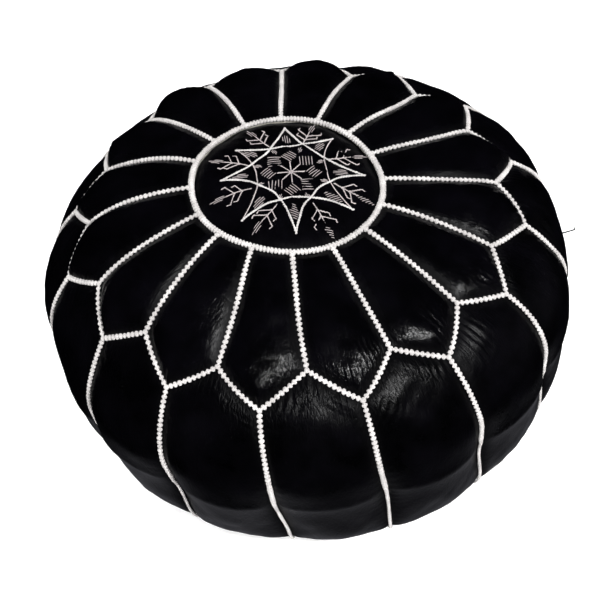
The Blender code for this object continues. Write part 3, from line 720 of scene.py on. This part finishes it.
def sew_panels():
    points, s, pulled, tucked = leather_sheets()
    petal_rows = slice(0, 2 * PETAL_ROWS + 1)
    side_rows = slice(2 * PETAL_ROWS, None)

    def cut(values, rows, middle):
        columns = np.arange(middle - COLUMNS, middle + COLUMNS + 1) % (2 * SEAM_COUNT * COLUMNS)
        return values[rows][:, columns]

    for number in range(1, SEAM_COUNT + 1):
        turn = round(seam_angle(number) / PITCH) * 2 * COLUMNS
        for name, rows, middle, look in (
            (f"petal_{number:02d}", petal_rows, turn - COLUMNS, PETAL_LOOK),
            (f"side_panel_{number:02d}", side_rows, turn, SIDE_LOOK),
        ):
            length = cut(s, rows, middle)
            across = np.linspace(-0.5, 0.5, 2 * COLUMNS + 1) * PITCH * LINE.radius(length)
            hide = np.stack([across + 0.37 * number, length], axis=-1)
            parts = [cut(values, rows, middle) for values in (pulled, tucked)]
            panel = leather_panel(f"{name}_leather", cut(points, rows, middle), hide, *parts)
            finished(panel, look, "black_leather", name, fill=0.9)


# --- threads -----------------------------------------------------------------------


SWING_SHARE = 1.6
# The core cord's strand lies past the groove range, so the thread look paints it wholly in groove shade.
CORE_STRAND_IN_SHADE = (0.6, 0.0, 0.0)
STRAND_SCALE = 300.0


class Tree:
    """A geometry tree with named inputs."""

    def __init__(self, name, inputs):
        self.group = bpy.data.node_groups.new(name, "GeometryNodeTree")
        face = self.group.interface
        face.new_socket("Geometry", in_out="INPUT", socket_type="NodeSocketGeometry")
        for label, kind in inputs.items():
            face.new_socket(label, in_out="INPUT", socket_type=f"NodeSocket{kind}")
        face.new_socket("Geometry", in_out="OUTPUT", socket_type="NodeSocketGeometry")
        self.given = self.group.nodes.new("NodeGroupInput").outputs
        self.result = self.group.nodes.new("NodeGroupOutput").inputs

    def node(self, kind, settings=None, inputs=None, output=0):
        made = self.group.nodes.new(kind)
        for key, value in (settings or {}).items():
            setattr(made, key, value)
        for key, value in (inputs or {}).items():
            if isinstance(value, bpy.types.NodeSocket):
                self.group.links.new(value, made.inputs[key])
            else:
                made.inputs[key].default_value = value
        return made.outputs[output]

    def maths(self, operation, *values):
        return self.node("ShaderNodeMath", {"operation": operation}, dict(enumerate(values)))

    def attribute(self, name, kind):
        return self.node("GeometryNodeInputNamedAttribute", {"data_type": kind}, {"Name": name})

    def marked(self, geometry, value):
        """Keep on every point where it lies in its strand of thread."""
        settings = {"data_type": "FLOAT_VECTOR", "domain": "POINT"}
        inputs = {"Geometry": geometry, "Name": "strand", "Value": value}
        return self.node("GeometryNodeStoreNamedAttribute", settings, inputs)

    def tube(self, curve, radius):
        ring = self.node("GeometryNodeCurvePrimitiveCircle", {}, {"Resolution": 6, "Radius": radius})
        inputs = {"Curve": curve, "Profile Curve": ring, "Fill Caps": True}
        return self.node("GeometryNodeCurveToMesh", {}, inputs)

    def finish(self, geometry, material):
        whole = self.node("GeometryNodeRealizeInstances", {}, {"Geometry": geometry})
        smooth = self.node("GeometryNodeSetShadeSmooth", {}, {"Geometry": whole})
        dressed = self.node("GeometryNodeSetMaterial", {}, {"Geometry": smooth, "Material": material})
        self.group.links.new(dressed, self.result[0])
        return self.group


def whipstitch_tree():
    """Stitches wrapped over a core cord, one after another along a seam."""
    sizes = ("Pitch", "Across", "Along", "Height", "Slant", "Unevenness", "Core")
    inputs = {size: "Float" for size in sizes}
    tree = Tree("whipstitch", {**inputs, "Seed": "Int", "Thread": "Material"})
    given = tree.given
    curve = tree.node("GeometryNodeMeshToCurve", {}, {"Mesh": given["Geometry"]})
    inputs = {"Curve": curve, "Length": given["Pitch"]}
    spaced = tree.node("GeometryNodeResampleCurve", {"mode": "LENGTH"}, inputs)
    stitch = tree.node("GeometryNodeMeshUVSphere", {}, {"Segments": 8, "Rings": 6, "Radius": 0.5})
    stitch = tree.marked(stitch, tree.node("GeometryNodeInputPosition"))
    outward = tree.attribute("outward", "FLOAT_VECTOR")
    girth = tree.attribute("girth", "FLOAT")
    tangent = tree.node("GeometryNodeInputTangent")
    axes = {"primary_axis": "Z", "secondary_axis": "X"}
    inputs = {"Primary Axis": outward, "Secondary Axis": tangent}
    upright = tree.node("FunctionNodeAxesToRotation", axes, inputs)
    low = tree.maths("SUBTRACT", 1.0, given["Unevenness"])
    high = tree.maths("ADD", 1.0, given["Unevenness"])
    inputs = {2: low, 3: high, "Seed": given["Seed"]}
    random = tree.node("FunctionNodeRandomValue", {"data_type": "FLOAT"}, inputs, output=1)
    swing = tree.maths("SUBTRACT", random, 1.0)
    swing = tree.maths("MULTIPLY_ADD", swing, SWING_SHARE, given["Slant"])
    turn = tree.node("ShaderNodeCombineXYZ", {}, {"Z": swing})
    turn = tree.node("FunctionNodeEulerToRotation", {}, {"Euler": turn})
    inputs = {"Rotation": upright, "Rotate By": turn}
    rotation = tree.node("FunctionNodeRotateRotation", {"rotation_space": "LOCAL"}, inputs)
    inputs = {"X": given["Along"], "Y": given["Across"], "Z": given["Height"]}
    size = tree.node("ShaderNodeCombineXYZ", {}, inputs)
    girth = tree.maths("MULTIPLY", girth, random)
    size = tree.node("ShaderNodeVectorMath", {"operation": "SCALE"}, {"Vector": size, "Scale": girth})
    inputs = {"Points": spaced, "Instance": stitch, "Rotation": rotation, "Scale": size}
    stitches = tree.node("GeometryNodeInstanceOnPoints", {}, inputs)
    core = tree.marked(tree.tube(spaced, given["Core"]), CORE_STRAND_IN_SHADE)
    joined = tree.group.nodes.new("GeometryNodeJoinGeometry")
    tree.group.links.new(stitches, joined.inputs[0])
    tree.group.links.new(core, joined.inputs[0])
    return tree.finish(joined.outputs[0], given["Thread"])


def laid_thread_tree():
    """Single threads laid on the leather from one needle hole to the next."""
    tree = Tree("laid thread", {"Thickness": "Float", "Steps": "Int", "Thread": "Material"})
    given = tree.given
    curve = tree.node("GeometryNodeMeshToCurve", {}, {"Mesh": given["Geometry"]})
    inputs = {"Curve": curve, "Count": given["Steps"]}
    even = tree.node("GeometryNodeResampleCurve", {"mode": "COUNT"}, inputs)
    tube = tree.tube(even, tree.maths("MULTIPLY", given["Thickness"], 0.5))
    # This strand lies far past the groove range, so laid threads are painted wholly in groove shade.
    inputs = {"Vector": tree.node("GeometryNodeInputPosition"), "Scale": STRAND_SCALE}
    strand = tree.node("ShaderNodeVectorMath", {"operation": "SCALE"}, inputs)
    return tree.finish(tree.marked(tube, strand), given["Thread"])


WHIPSTITCH = whipstitch_tree()
LAID_THREAD = laid_thread_tree()


def grown(name, runs, tree, inputs):
    """Sew along these runs with a tree, and keep the result as a plain mesh."""
    vertices = []
    outward = []
    girths = []
    edges = []
    for points, normals, closed, girth in runs:
        first = len(vertices)
        vertices += [tuple(p) for p in points]
        outward += [tuple(n) for n in normals]
        girths += np.broadcast_to(girth, len(points)).tolist()
        edges += [(first + i, first + i + 1) for i in range(len(points) - 1)]
        if closed:
            edges.append((first + len(points) - 1, first))
    source = new_object(f"{name}_line", vertices, [], edges)
    attribute = source.data.attributes.new("outward", "FLOAT_VECTOR", "POINT")
    attribute.data.foreach_set("vector", np.array(outward, np.float32).ravel())
    attribute = source.data.attributes.new("girth", "FLOAT", "POINT")
    attribute.data.foreach_set("value", np.array(girths, np.float32))
    modifier = source.modifiers.new("sewing", "NODES")
    modifier.node_group = tree
    sockets = {item.name: item.identifier for item in tree.interface.items_tree if item.in_out == "INPUT"}
    for label, value in inputs.items():
        modifier[sockets[label]] = value
    evaluated = source.evaluated_get(bpy.context.evaluated_depsgraph_get())
    mesh = bpy.data.meshes.new_from_object(evaluated)
    mesh.name = name
    bpy.data.objects.remove(source)
    return linked(name, mesh)


def cover_run(s, angle, lift, closed=False, girth=1.0):
    low = LINE.place(s, angle, lift)
    high = LINE.place(s, angle, np.asarray(lift) + 0.002)
    points, normals = settled_with_normals(low, high)
    return points, normals, closed, girth


def braid(name, runs, size, seed, node):
    labels = ("Pitch", "Across", "Along", "Height", "Core", "Slant")
    inputs = dict(zip(labels, size))
    inputs.update({"Unevenness": BRAID_UNEVENNESS, "Seed": seed, "Thread": BRAID_LOOK})
    return finished(grown(name, runs, WHIPSTITCH, inputs), BRAID_LOOK, "cream_thread", node)


def sew_seams():
    radial = []
    zigzag = []
    sides = []
    for number in range(1, SEAM_COUNT + 1):
        angle = seam_angle(number)
        s = np.linspace(RING_EDGE, LINE.shoulder, RADIAL_POINTS)
        radial.append(cover_run(s, np.full(RADIAL_POINTS, angle), BRAID_LIFT))
        s = np.linspace(LINE.hem, LINE.end - BASE_SEAM_HALF_WIDTH, SIDE_POINTS)
        girth = 1 - LOW_SEAM_THINNING * smooth_step((s - LINE.fold) / 0.02 + 0.5)
        turn = np.full(SIDE_POINTS, angle - PITCH / 2)
        sides.append(cover_run(s, turn, BRAID_LIFT, girth=girth))
        for half in (-1, 1):
            turn = angle + half * np.linspace(0, PITCH / 2, ZIGZAG_POINTS)
            zigzag.append(cover_run(LINE.zigzag(turn), turn, BRAID_LIFT))
    size = (BRAID_PITCH, BRAID_ACROSS, BRAID_ALONG, BRAID_HEIGHT, BRAID_CORE, BRAID_SLANT)
    braid("radial_seam_braid", radial, size, 1, "seam_braid")
    braid("zigzag_seam_braid", zigzag, size, 2, "seam_braid")
    braid("side_seam_braid", sides, size, 3, "seam_braid")
    around = np.linspace(0, 2 * math.pi, RING_POINTS + 1)[:-1]
    ring = cover_run(np.zeros(RING_POINTS), around, RING_LIFT, closed=True)
    size = (RING_PITCH, RING_ACROSS, RING_ALONG, RING_HEIGHT, RING_CORE, RING_SLANT)
    braid("medallion_ring_braid", [ring], size, 4, "medallion_braid")
    base = cover_run(np.full(RING_POINTS, LINE.end), around, -RING_LIFT, closed=True)
    size = (BRAID_PITCH, BASE_SEAM_ACROSS, BRAID_ALONG, BASE_SEAM_HEIGHT, BASE_SEAM_CORE, BASE_SEAM_SLANT)
    braid("base_seam_stitches", [base], size, 5, "base_seam_cord")


def leave_loose_end():
    """The waxed end of a side seam's thread, left uncut, standing off the cover."""
    root = settle(LINE.place(LINE.fold + LOOSE_END_DROP, PITCH / 2, 0.0010))
    share = np.linspace(0, 1, 14)[:, None]
    sag = np.array([0.0, 0.0, -LOOSE_END_SAG])
    points = root + share * np.array(LOOSE_END_REACH) + sag * 4 * share * (1 - share)
    points = np.concatenate([points, points[-1:] + LOOSE_END_HOOK])
    runs = [(points, np.tile((0.0, 0.0, 1.0), (len(points), 1)), False, 1.0)]
    inputs = {"Thickness": LOOSE_END_THICKNESS, "Steps": 40, "Thread": STUB_LOOK}
    end = grown("loose_thread_end", runs, LAID_THREAD, inputs)
    finished(end, STUB_LOOK, "cream_thread", "seam_braid")


# --- medallion ---------------------------------------------------------------------

# Where the embroidery lies, in shares of the medallion's radius
RAY_START = 0.020
RAY_END = 0.135
SQUARES_OUT = 0.245
NOTCH_LOZENGES_OUT = 0.365
POINT_LOZENGES_OUT = 0.530
TWIG_OUT = 0.475
TWIG_LENGTH = 0.240
TWIG_BEND = 0.006
TWIG_BARBS = ((0.085, 0.135), (0.165, 0.150))
BARB_HOOK = (0.028, 0.004)
LEAF_OUT = 0.335
STAR_CENTRE = (0.05 * MEDALLION_RADIUS, 0.0)
TIP_RADIUS = 0.77 * MEDALLION_RADIUS
TIP_REACH = (1.00, 0.93, 1.02, 1.00, 0.99, 0.90, 1.04, 0.98)
TWIG_LEAN = (-0.12, 0.00, 0.05, -0.12, -0.23, -0.31, -0.08, -0.26)
BOLD_STITCH = {
    "Pitch": 0.0027,
    "Across": 0.0023,
    "Along": 0.0034,
    "Height": 0.0013,
    "Slant": 0.12,
    "Unevenness": 0.12,
    "Core": 0.0004,
}
THIN_STITCH = {
    "Pitch": 0.0024,
    "Across": 0.0012,
    "Along": 0.0030,
    "Height": 0.0009,
    "Slant": 0.10,
    "Unevenness": 0.12,
    "Core": 0.0004,
}
LAID_THICKNESS = 0.00072


def on_crown(plan, lift):
    """Plan points laid on the domed medallion."""
    radius = np.hypot(plan[..., 0], plan[..., 1])
    return np.concatenate([plan, (crown_height(radius) + lift)[..., None]], axis=-1)


def crown_run(plan, lift=0.0004, hump=0.0):
    """A line of thread on the medallion, standing a little higher in its middle."""
    plan = np.asarray(plan, float)
    share = np.linspace(0, 1, len(plan))
    lift = lift + hump * np.sin(math.pi * share)
    return (*settled_with_normals(on_crown(plan, lift), on_crown(plan, lift + 0.002)), False, 1.0)


def turned(points, angle):
    cos, sin = math.cos(angle), math.sin(angle)
    return np.asarray(points, float) @ np.array([[cos, sin], [-sin, cos]])


def at(radius, angle, shape, turn=None):
    """A plan shape moved out from the star's centre, its X pointing outwards unless turn says otherwise."""
    middle = np.array(STAR_CENTRE) + radius * np.array([math.cos(angle), math.sin(angle)])
    return turned(shape, angle if turn is None else turn) + middle


def straight(a, b, steps=6):
    return np.linspace(a, b, steps)


def hatched_lozenge(length, width, lines, slope, lengthwise=True):
    """Parallel threads that fill a lozenge, from end to end or from side to side."""
    threads = []
    for k in range(lines):
        offset = (k + 0.5) / lines * 2 - 1
        half = (1 - 0.75 * abs(offset)) / 2
        if lengthwise:
            shift = offset * slope * width / 2
            y = offset * width / 2
            threads.append(straight((shift - half * length, y), (shift + half * length, y)))
        else:
            middle = offset * length / 2
            lean = slope * half * width
            threads.append(straight((middle - lean, -half * width), (middle + lean, half * width)))
    return threads


def hatched_square(size, lines, rng):
    """Parallel threads that fill a square, their ends a little uneven."""
    offsets = (np.arange(lines) / (lines - 1) - 0.5) * size
    ends = size / 2 + rng.normal(0, 0.0006, (lines, 2))
    threads = []
    for y, (left, right) in zip(offsets, ends):
        slope = 0.0004 * (right - left) / size
        threads.append(straight((-left, y), (right, y + slope)))
    return threads


def star_sides():
    """The sides of two overlaid squares, bowed inwards, heavier where the maker doubled the thread."""
    heavy = []
    light = []
    for square, turn in enumerate((math.radians(91), math.radians(50))):
        for side in range(4):
            first = turn + side * math.pi / 2
            from_reach = TIP_REACH[square * 4 + side] * TIP_RADIUS
            to_reach = TIP_REACH[square * 4 + (side + 1) % 4] * TIP_RADIUS
            a = np.array(STAR_CENTRE) + from_reach * np.array([math.cos(first), math.sin(first)])
            b = np.array(STAR_CENTRE) + to_reach * np.array([-math.sin(first), math.cos(first)])
            outward = (a + b) / 2 - np.array(STAR_CENTRE)
            outward /= np.linalg.norm(outward)
            bow = (0.16 - 0.045 * outward[1]) * MEDALLION_RADIUS
            t = np.linspace(0, 1, 30)[:, None]
            waver = 0.0007 * ripple(a + (b - a) * t, 0.028, 51 + square) * np.sin(math.pi * t[:, 0])
            line = a + (b - a) * t + outward * (waver[:, None] - bow * 4 * t * (1 - t))
            upright = square == 1 and abs(outward[0]) > 0.7
            (light if upright else heavy).append(line)
    return heavy, light


def embroidery():
    """Plan lines of everything sewn on the medallion besides the star: stems and laid threads."""
    rng = np.random.default_rng(12)
    scale = MEDALLION_RADIUS
    stems = []
    laid = []
    for k in range(8):
        angle = k * math.pi / 4
        cardinal = k % 2 == 0
        ray = straight((RAY_START * scale, 0), (RAY_END * scale, 0))
        stems.append(at(0, angle + 0.03, ray))
        if cardinal:
            shape = hatched_square(0.0105, 5, rng)
            turn = angle + math.pi / 4
        else:
            shape = hatched_square(0.0120, 5, rng)
            turn = 0.0 if k in (3, 7) else math.pi / 2
        laid += [at(SQUARES_OUT * scale, angle, thread, turn + rng.normal(0, 0.05)) for thread in shape]
        lengthwise = k not in (6, 7)
        point = hatched_lozenge(0.0180, 0.0085, 4 if lengthwise else 7, 0.5, lengthwise)
        askew = angle + (0.02 if cardinal else 0.09)
        laid += [at(POINT_LOZENGES_OUT * scale, askew, thread) for thread in point]
        notch = angle + math.pi / 8 + 0.05
        small = hatched_lozenge(0.0080, 0.0044, 3, 0.4)
        laid += [at(NOTCH_LOZENGES_OUT * scale, notch, thread) for thread in small]
        lean = TWIG_LEAN[k]
        stem = straight((0.0, 0.0), (TWIG_LENGTH * scale, 0.0), 8)
        stem[:, 1] += TWIG_BEND * scale * np.sin(np.linspace(0, math.pi, 8)) * rng.choice((-1, 1))
        stems.append(at(TWIG_OUT * scale, notch, turned(stem, lean)))
        for out, reach in TWIG_BARBS:
            for side in (-1, 1):
                length = reach * scale * rng.uniform(0.85, 1.1)
                bend = 0.95 + rng.normal(0, 0.08)
                tip = np.array([math.cos(bend), side * math.sin(bend)]) * length
                hook = tip + np.array([BARB_HOOK[0], -side * BARB_HOOK[1]]) * scale
                barb = np.array([(0, 0), tip * 0.5, tip, hook]) + np.array([out * scale, 0])
                stems.append(at(TWIG_OUT * scale, notch, turned(barb, lean)))
        leaf = hatched_lozenge(0.0180, 0.0058, 3 if lengthwise else 7, 0.6, lengthwise)
        for thread in leaf:
            moved = turned(thread + np.array([LEAF_OUT * scale, 0]), lean)
            laid.append(at(TWIG_OUT * scale, notch, moved))
    return stems, laid


def sew_medallion():
    edge = MEDALLION_RADIUS - RING_EDGE + 0.0012
    rings = 26
    sides = 128
    radii = np.linspace(0.0006, edge, rings)
    turn = np.linspace(0, 2 * math.pi, sides + 1)[:-1]
    plan = np.stack([np.outer(radii, np.cos(turn)), np.outer(radii, np.sin(turn))], axis=-1)
    drop = 0.0022 * np.exp(-(((edge - radii) / 0.005) ** 2))[:, None]
    top = on_crown(plan, 0.0)
    top[..., 2] += 0.0005 * ripple(plan, 0.03, 21) + 0.0003 * ripple(plan, 0.011, 22) - drop
    top = settle(top)
    under = top - np.array([0, 0, LEATHER])
    count = rings * sides
    index = np.arange(count).reshape(rings, sides)
    quads = round_quads(index)
    rim = index[-1]
    after = np.roll(rim, -1)
    edge_band = np.stack([rim, rim + count, after + count, after], axis=-1)
    faces = quads.tolist() + (quads[:, ::-1] + count).tolist() + edge_band.tolist()
    faces += [index[0].tolist(), (index[0, ::-1] + count).tolist()]
    vertices = np.concatenate([top.reshape(-1, 3), under.reshape(-1, 3)])
    disc = new_object("medallion_leather", vertices, faces)
    disc.data.shade_smooth()
    mark_hide(disc.data, np.tile(plan.reshape(-1, 2), (2, 1)), 0.4, 0.0)
    finished(disc, MEDALLION_LOOK, "medallion_leather", "medallion", fill=0.9)

    heavy, light = star_sides()
    stems, laid = embroidery()
    inputs = {**BOLD_STITCH, "Seed": 6, "Thread": BRAID_LOOK}
    star = grown("star_stitches", [crown_run(p) for p in heavy], WHIPSTITCH, inputs)
    finished(star, BRAID_LOOK, "cream_thread", "medallion_star")
    inputs = {**THIN_STITCH, "Seed": 7, "Thread": FINE_LOOK}
    fine = grown("fine_stitches", [crown_run(p) for p in light + stems], WHIPSTITCH, inputs)
    finished(fine, FINE_LOOK, "cream_thread", "medallion_star")
    runs = [crown_run(p, 0.0001, 0.0004) for p in laid]
    inputs = {"Thickness": LAID_THICKNESS, "Steps": 6, "Thread": FINE_LOOK}
    satin = grown("laid_threads", runs, LAID_THREAD, inputs)
    finished(satin, FINE_LOOK, "cream_thread", "medallion_star")


# --- inside and underneath ---------------------------------------------------------


ZIP_STITCH = {
    "Pitch": 0.0036,
    "Across": 0.0009,
    "Along": 0.0030,
    "Height": 0.0006,
    "Slant": 0.0,
    "Unevenness": 0.06,
    "Core": 0.0002,
}


def welded_copy(node):
    """A working mesh of a CAD solid, with its doubled points joined."""
    bm = bmesh.new()
    bm.from_mesh(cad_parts[node].data)
    bmesh.ops.remove_doubles(bm, verts=bm.verts, dist=1e-5)
    return bm


def object_from(bm, name, points):
    """A smooth object of a working mesh, its points moved to these places."""
    for vertex, point in zip(bm.verts, points):
        vertex.co = point
    mesh = bpy.data.meshes.new(name)
    bm.to_mesh(mesh)
    bm.free()
    mesh.shade_smooth()
    return linked(name, mesh)


def softened_copy(name, node, wobble, span, seed):
    """A CAD soft solid made into cloth: finer mesh, uneven surface, settled with the cover."""
    bm = welded_copy(node)
    bmesh.ops.subdivide_edges(bm, edges=bm.edges, cuts=1, use_grid_fill=True)
    bm.normal_update()
    points = np.array([v.co[:] for v in bm.verts])
    normals = np.array([v.normal[:] for v in bm.verts])
    points += normals * (wobble * ripple(points, span, seed))[:, None]
    return object_from(bm, name, settle(points))


def fill_cover():
    liner = softened_copy("liner_bag", "inner_liner", 0.0004, 0.05, 41)
    finished(liner, LINER_LOOK, "liner_cotton", "inner_liner", fill=0.8)
    filling = softened_copy("wadding_fill", "filling", 0.0003, 0.03, 42)
    finished(filling, WADDING_LOOK, "wadding", "filling", fill=0.8)


def finer_triangles(bm, longest):
    """Halve edges until none is longer than this."""
    for _ in range(6):
        long = [edge for edge in bm.edges if edge.calc_length() > longest]
        if not long:
            break
        bmesh.ops.subdivide_edges(bm, edges=long, cuts=1)
        bmesh.ops.triangulate(bm, faces=bm.faces)


def lay_base():
    """The two halves of the base: leather that lifts a little off the floor, gathered at its rim."""
    for node in ("base_half_front", "base_half_back"):
        bm = welded_copy(node)
        finer_triangles(bm, BASE_FINENESS)
        points = np.array([v.co[:] for v in bm.verts])
        plan = points[:, :2]
        radius = np.hypot(*plan.T)
        angle = np.arctan2(plan[:, 1], plan[:, 0])
        inside = BASE_EDGE_RADIUS - radius
        from_zip = smooth_step((np.abs(plan[:, 1]) - ZIP_FLAT_HALF) / 0.030)
        from_rim = smooth_step((inside - 0.004) / 0.020)
        gather = smooth_step((inside - 0.002) / 0.004) * np.exp(-inside / 0.016)
        waves = np.maximum(1 + ripple(plan, 0.075, 61), 0) + 0.4 * np.abs(ripple(plan, 0.024, 62))
        folds = 1 + np.sin(angle * BASE_GATHER_COUNT + 3 * ripple(plan, 0.06, 63))
        lift = BASE_LIFT * waves * from_rim + BASE_GATHER * folds * gather
        points[:, 2] += lift * from_zip
        half = object_from(bm, f"{node}_leather", points)
        mark_hide(half.data, plan, np.clip(gather * 2 + 0.35, 0, 1), 0.0)
        finished(half, BASE_LOOK, "base_leather", node)


def sew_zip():
    """A row of stitches on each side of the zip, through the base leather and its tape."""
    rows = []
    x = np.linspace(-ZIP_ROW_HALF, ZIP_ROW_HALF, ZIP_ROW_POINTS)
    height = np.full(ZIP_ROW_POINTS, ZIP_ROW_HEIGHT)
    downward = np.tile((0.0, 0.0, -1.0), (ZIP_ROW_POINTS, 1))
    for side in (-1, 1):
        points = np.stack([x, np.full(ZIP_ROW_POINTS, side * ZIP_ROW_OFF), height], axis=-1)
        rows.append((points, downward, False, 1.0))
    stitches = grown("zip_tape_stitches", rows, WHIPSTITCH, {**ZIP_STITCH, "Seed": 8, "Thread": FINE_LOOK})
    finished(stitches, FINE_LOOK, "cream_thread")


def dress_zip():
    looks = {"zip_tape": TAPE_LOOK, "zip_": METAL_LOOK}
    for node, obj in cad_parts.items():
        for prefix, look in looks.items():
            if node.startswith(prefix):
                obj.data.materials.clear()
                obj.data.materials.append(look)
                break


# --- studio ------------------------------------------------------------------------

CAMERA_ELEVATION = math.radians(51.17)
CAMERA_TURN = math.radians(2.79)
CAMERA_ROLL = math.radians(-9.58)
CAMERA_DISTANCE = 1.298
CAMERA_ASIDE = -0.0235
CAMERA_ALONG = 0.0516
LENS = 69.1
WORLD_ABOVE = (0.002, 0.002, 0.003, 1)
WORLD_BELOW = (0.26, 0.26, 0.29, 1)
WORLD_RIGHT = (0.150, 0.145, 0.155, 1)
BACKDROP_RADIUS = 4.0
BACKDROP_CURVE = 2.0
BACKDROP_WALL = 3.0
BACKDROP_SIDES = 96
FLOOR_RINGS = (1.0, 2.0, 3.0)
FLOOR_GAP = 0.0004
KEY_PLACE = (0.397, -0.747, 1.057)
KEY_SIZE = (0.09, 0.09)
KEY_POWER = 12


def camera():
    back = Vector((0, -math.cos(CAMERA_ELEVATION), math.sin(CAMERA_ELEVATION)))
    right = Vector((1, 0, 0))
    up = back.cross(right)
    across = right * math.cos(CAMERA_ROLL) + up * math.sin(CAMERA_ROLL)
    upward = up * math.cos(CAMERA_ROLL) - right * math.sin(CAMERA_ROLL)
    place = across * CAMERA_ASIDE + upward * CAMERA_ALONG + back * CAMERA_DISTANCE
    axes = Matrix((across, upward, back)).transposed().to_4x4()
    data = bpy.data.cameras.new("camera")
    data.lens = LENS
    data.sensor_width = 36
    made = linked("camera", data)
    made.matrix_world = Matrix.Rotation(CAMERA_TURN, 4, "Z") @ Matrix.Translation(place) @ axes
    bpy.context.scene.camera = made


def softbox(name, place, target, size, power, shows_in_gloss=True):
    data = bpy.data.lights.new(name, "AREA")
    data.shape = "RECTANGLE"
    data.size, data.size_y = size
    data.energy = power
    made = linked(name, data)
    made.location = place
    made.rotation_mode = "QUATERNION"
    made.rotation_quaternion = (Vector(place) - Vector(target)).to_track_quat("Z", "Y")
    made.visible_glossy = shows_in_gloss


def backdrop():
    """A round pale floor that curves up into a wall all round, bright enough far out to stay plain."""
    bend = np.linspace(0, math.pi / 2, 12)
    edge = BACKDROP_RADIUS + BACKDROP_CURVE * np.sin(bend)
    rise = BACKDROP_CURVE * (1 - np.cos(bend))
    radii = np.concatenate([FLOOR_RINGS, edge, edge[-1:]])
    heights = np.concatenate([np.zeros(len(FLOOR_RINGS)), rise, [BACKDROP_CURVE + BACKDROP_WALL]])
    turn = np.linspace(0, 2 * math.pi, BACKDROP_SIDES + 1)[:-1]
    x = np.outer(radii, np.cos(turn))
    y = np.outer(radii, np.sin(turn))
    z = np.broadcast_to(heights[:, None] - FLOOR_GAP, x.shape)
    index = np.arange(x.size).reshape(x.shape)
    faces = round_quads(index).tolist() + [index[0].tolist()]
    floor = new_object("floor", np.stack([x, y, z], axis=-1).reshape(-1, 3), faces)
    floor.data.shade_smooth()
    look = Look("pale floor", Base_Color=(0.90, 0.90, 0.90, 1), Roughness=0.9, Specular_IOR_Level=0.1)
    look.finish(Emission_Strength=1.0)
    far = look.length(look.place())
    look.finish(Emission_Color=look.blend(look.range(far, 0.8, 3.0), (0.30,) * 3, (0.95,) * 3))
    floor.data.materials.append(look.material)
    floor.visible_glossy = False


def surroundings():
    """What the polished leather mirrors: a dark room, pale straight below, with a dim wall on the right."""
    world = bpy.data.worlds.new("studio")
    bpy.context.scene.world = world
    world.use_nodes = True
    nodes = world.node_tree.nodes
    links = world.node_tree.links
    direction = nodes.new("ShaderNodeTexCoord")
    split = nodes.new("ShaderNodeSeparateXYZ")
    links.new(direction.outputs["Generated"], split.inputs[0])
    shade = None
    patches = (("Z", -0.80, -0.86, WORLD_BELOW), ("X", 0.86, 0.97, WORLD_RIGHT))
    for axis, start, end, colour in patches:
        share = nodes.new("ShaderNodeMapRange")
        share.interpolation_type = "SMOOTHSTEP"
        share.inputs[1].default_value = start
        share.inputs[2].default_value = end
        links.new(split.outputs[axis], share.inputs[0])
        mix = nodes.new("ShaderNodeMix")
        mix.data_type = "RGBA"
        links.new(share.outputs[0], mix.inputs[0])
        mix.inputs[6].default_value = WORLD_ABOVE
        if shade:
            links.new(shade, mix.inputs[6])
        mix.inputs[7].default_value = colour
        shade = mix.outputs[2]
    links.new(shade, nodes["Background"].inputs["Color"])


def studio():
    backdrop()
    surroundings()
    softbox("key", KEY_PLACE, (0, 0, 0.15), KEY_SIZE, KEY_POWER)
    softbox("even fill", (0.0, -0.5, 3.0), (0, 0, 0), (3.6, 3.6), 150, shows_in_gloss=False)
    softbox("back fill", (0.0, 2.6, 0.9), (0, 0, 0.12), (2.4, 1.2), 22, shows_in_gloss=False)
    bpy.context.scene.view_settings.view_transform = "Standard"


sew_panels()
sew_seams()
leave_loose_end()
sew_medallion()
fill_cover()
lay_base()
sew_zip()
dress_zip()
camera()
studio()
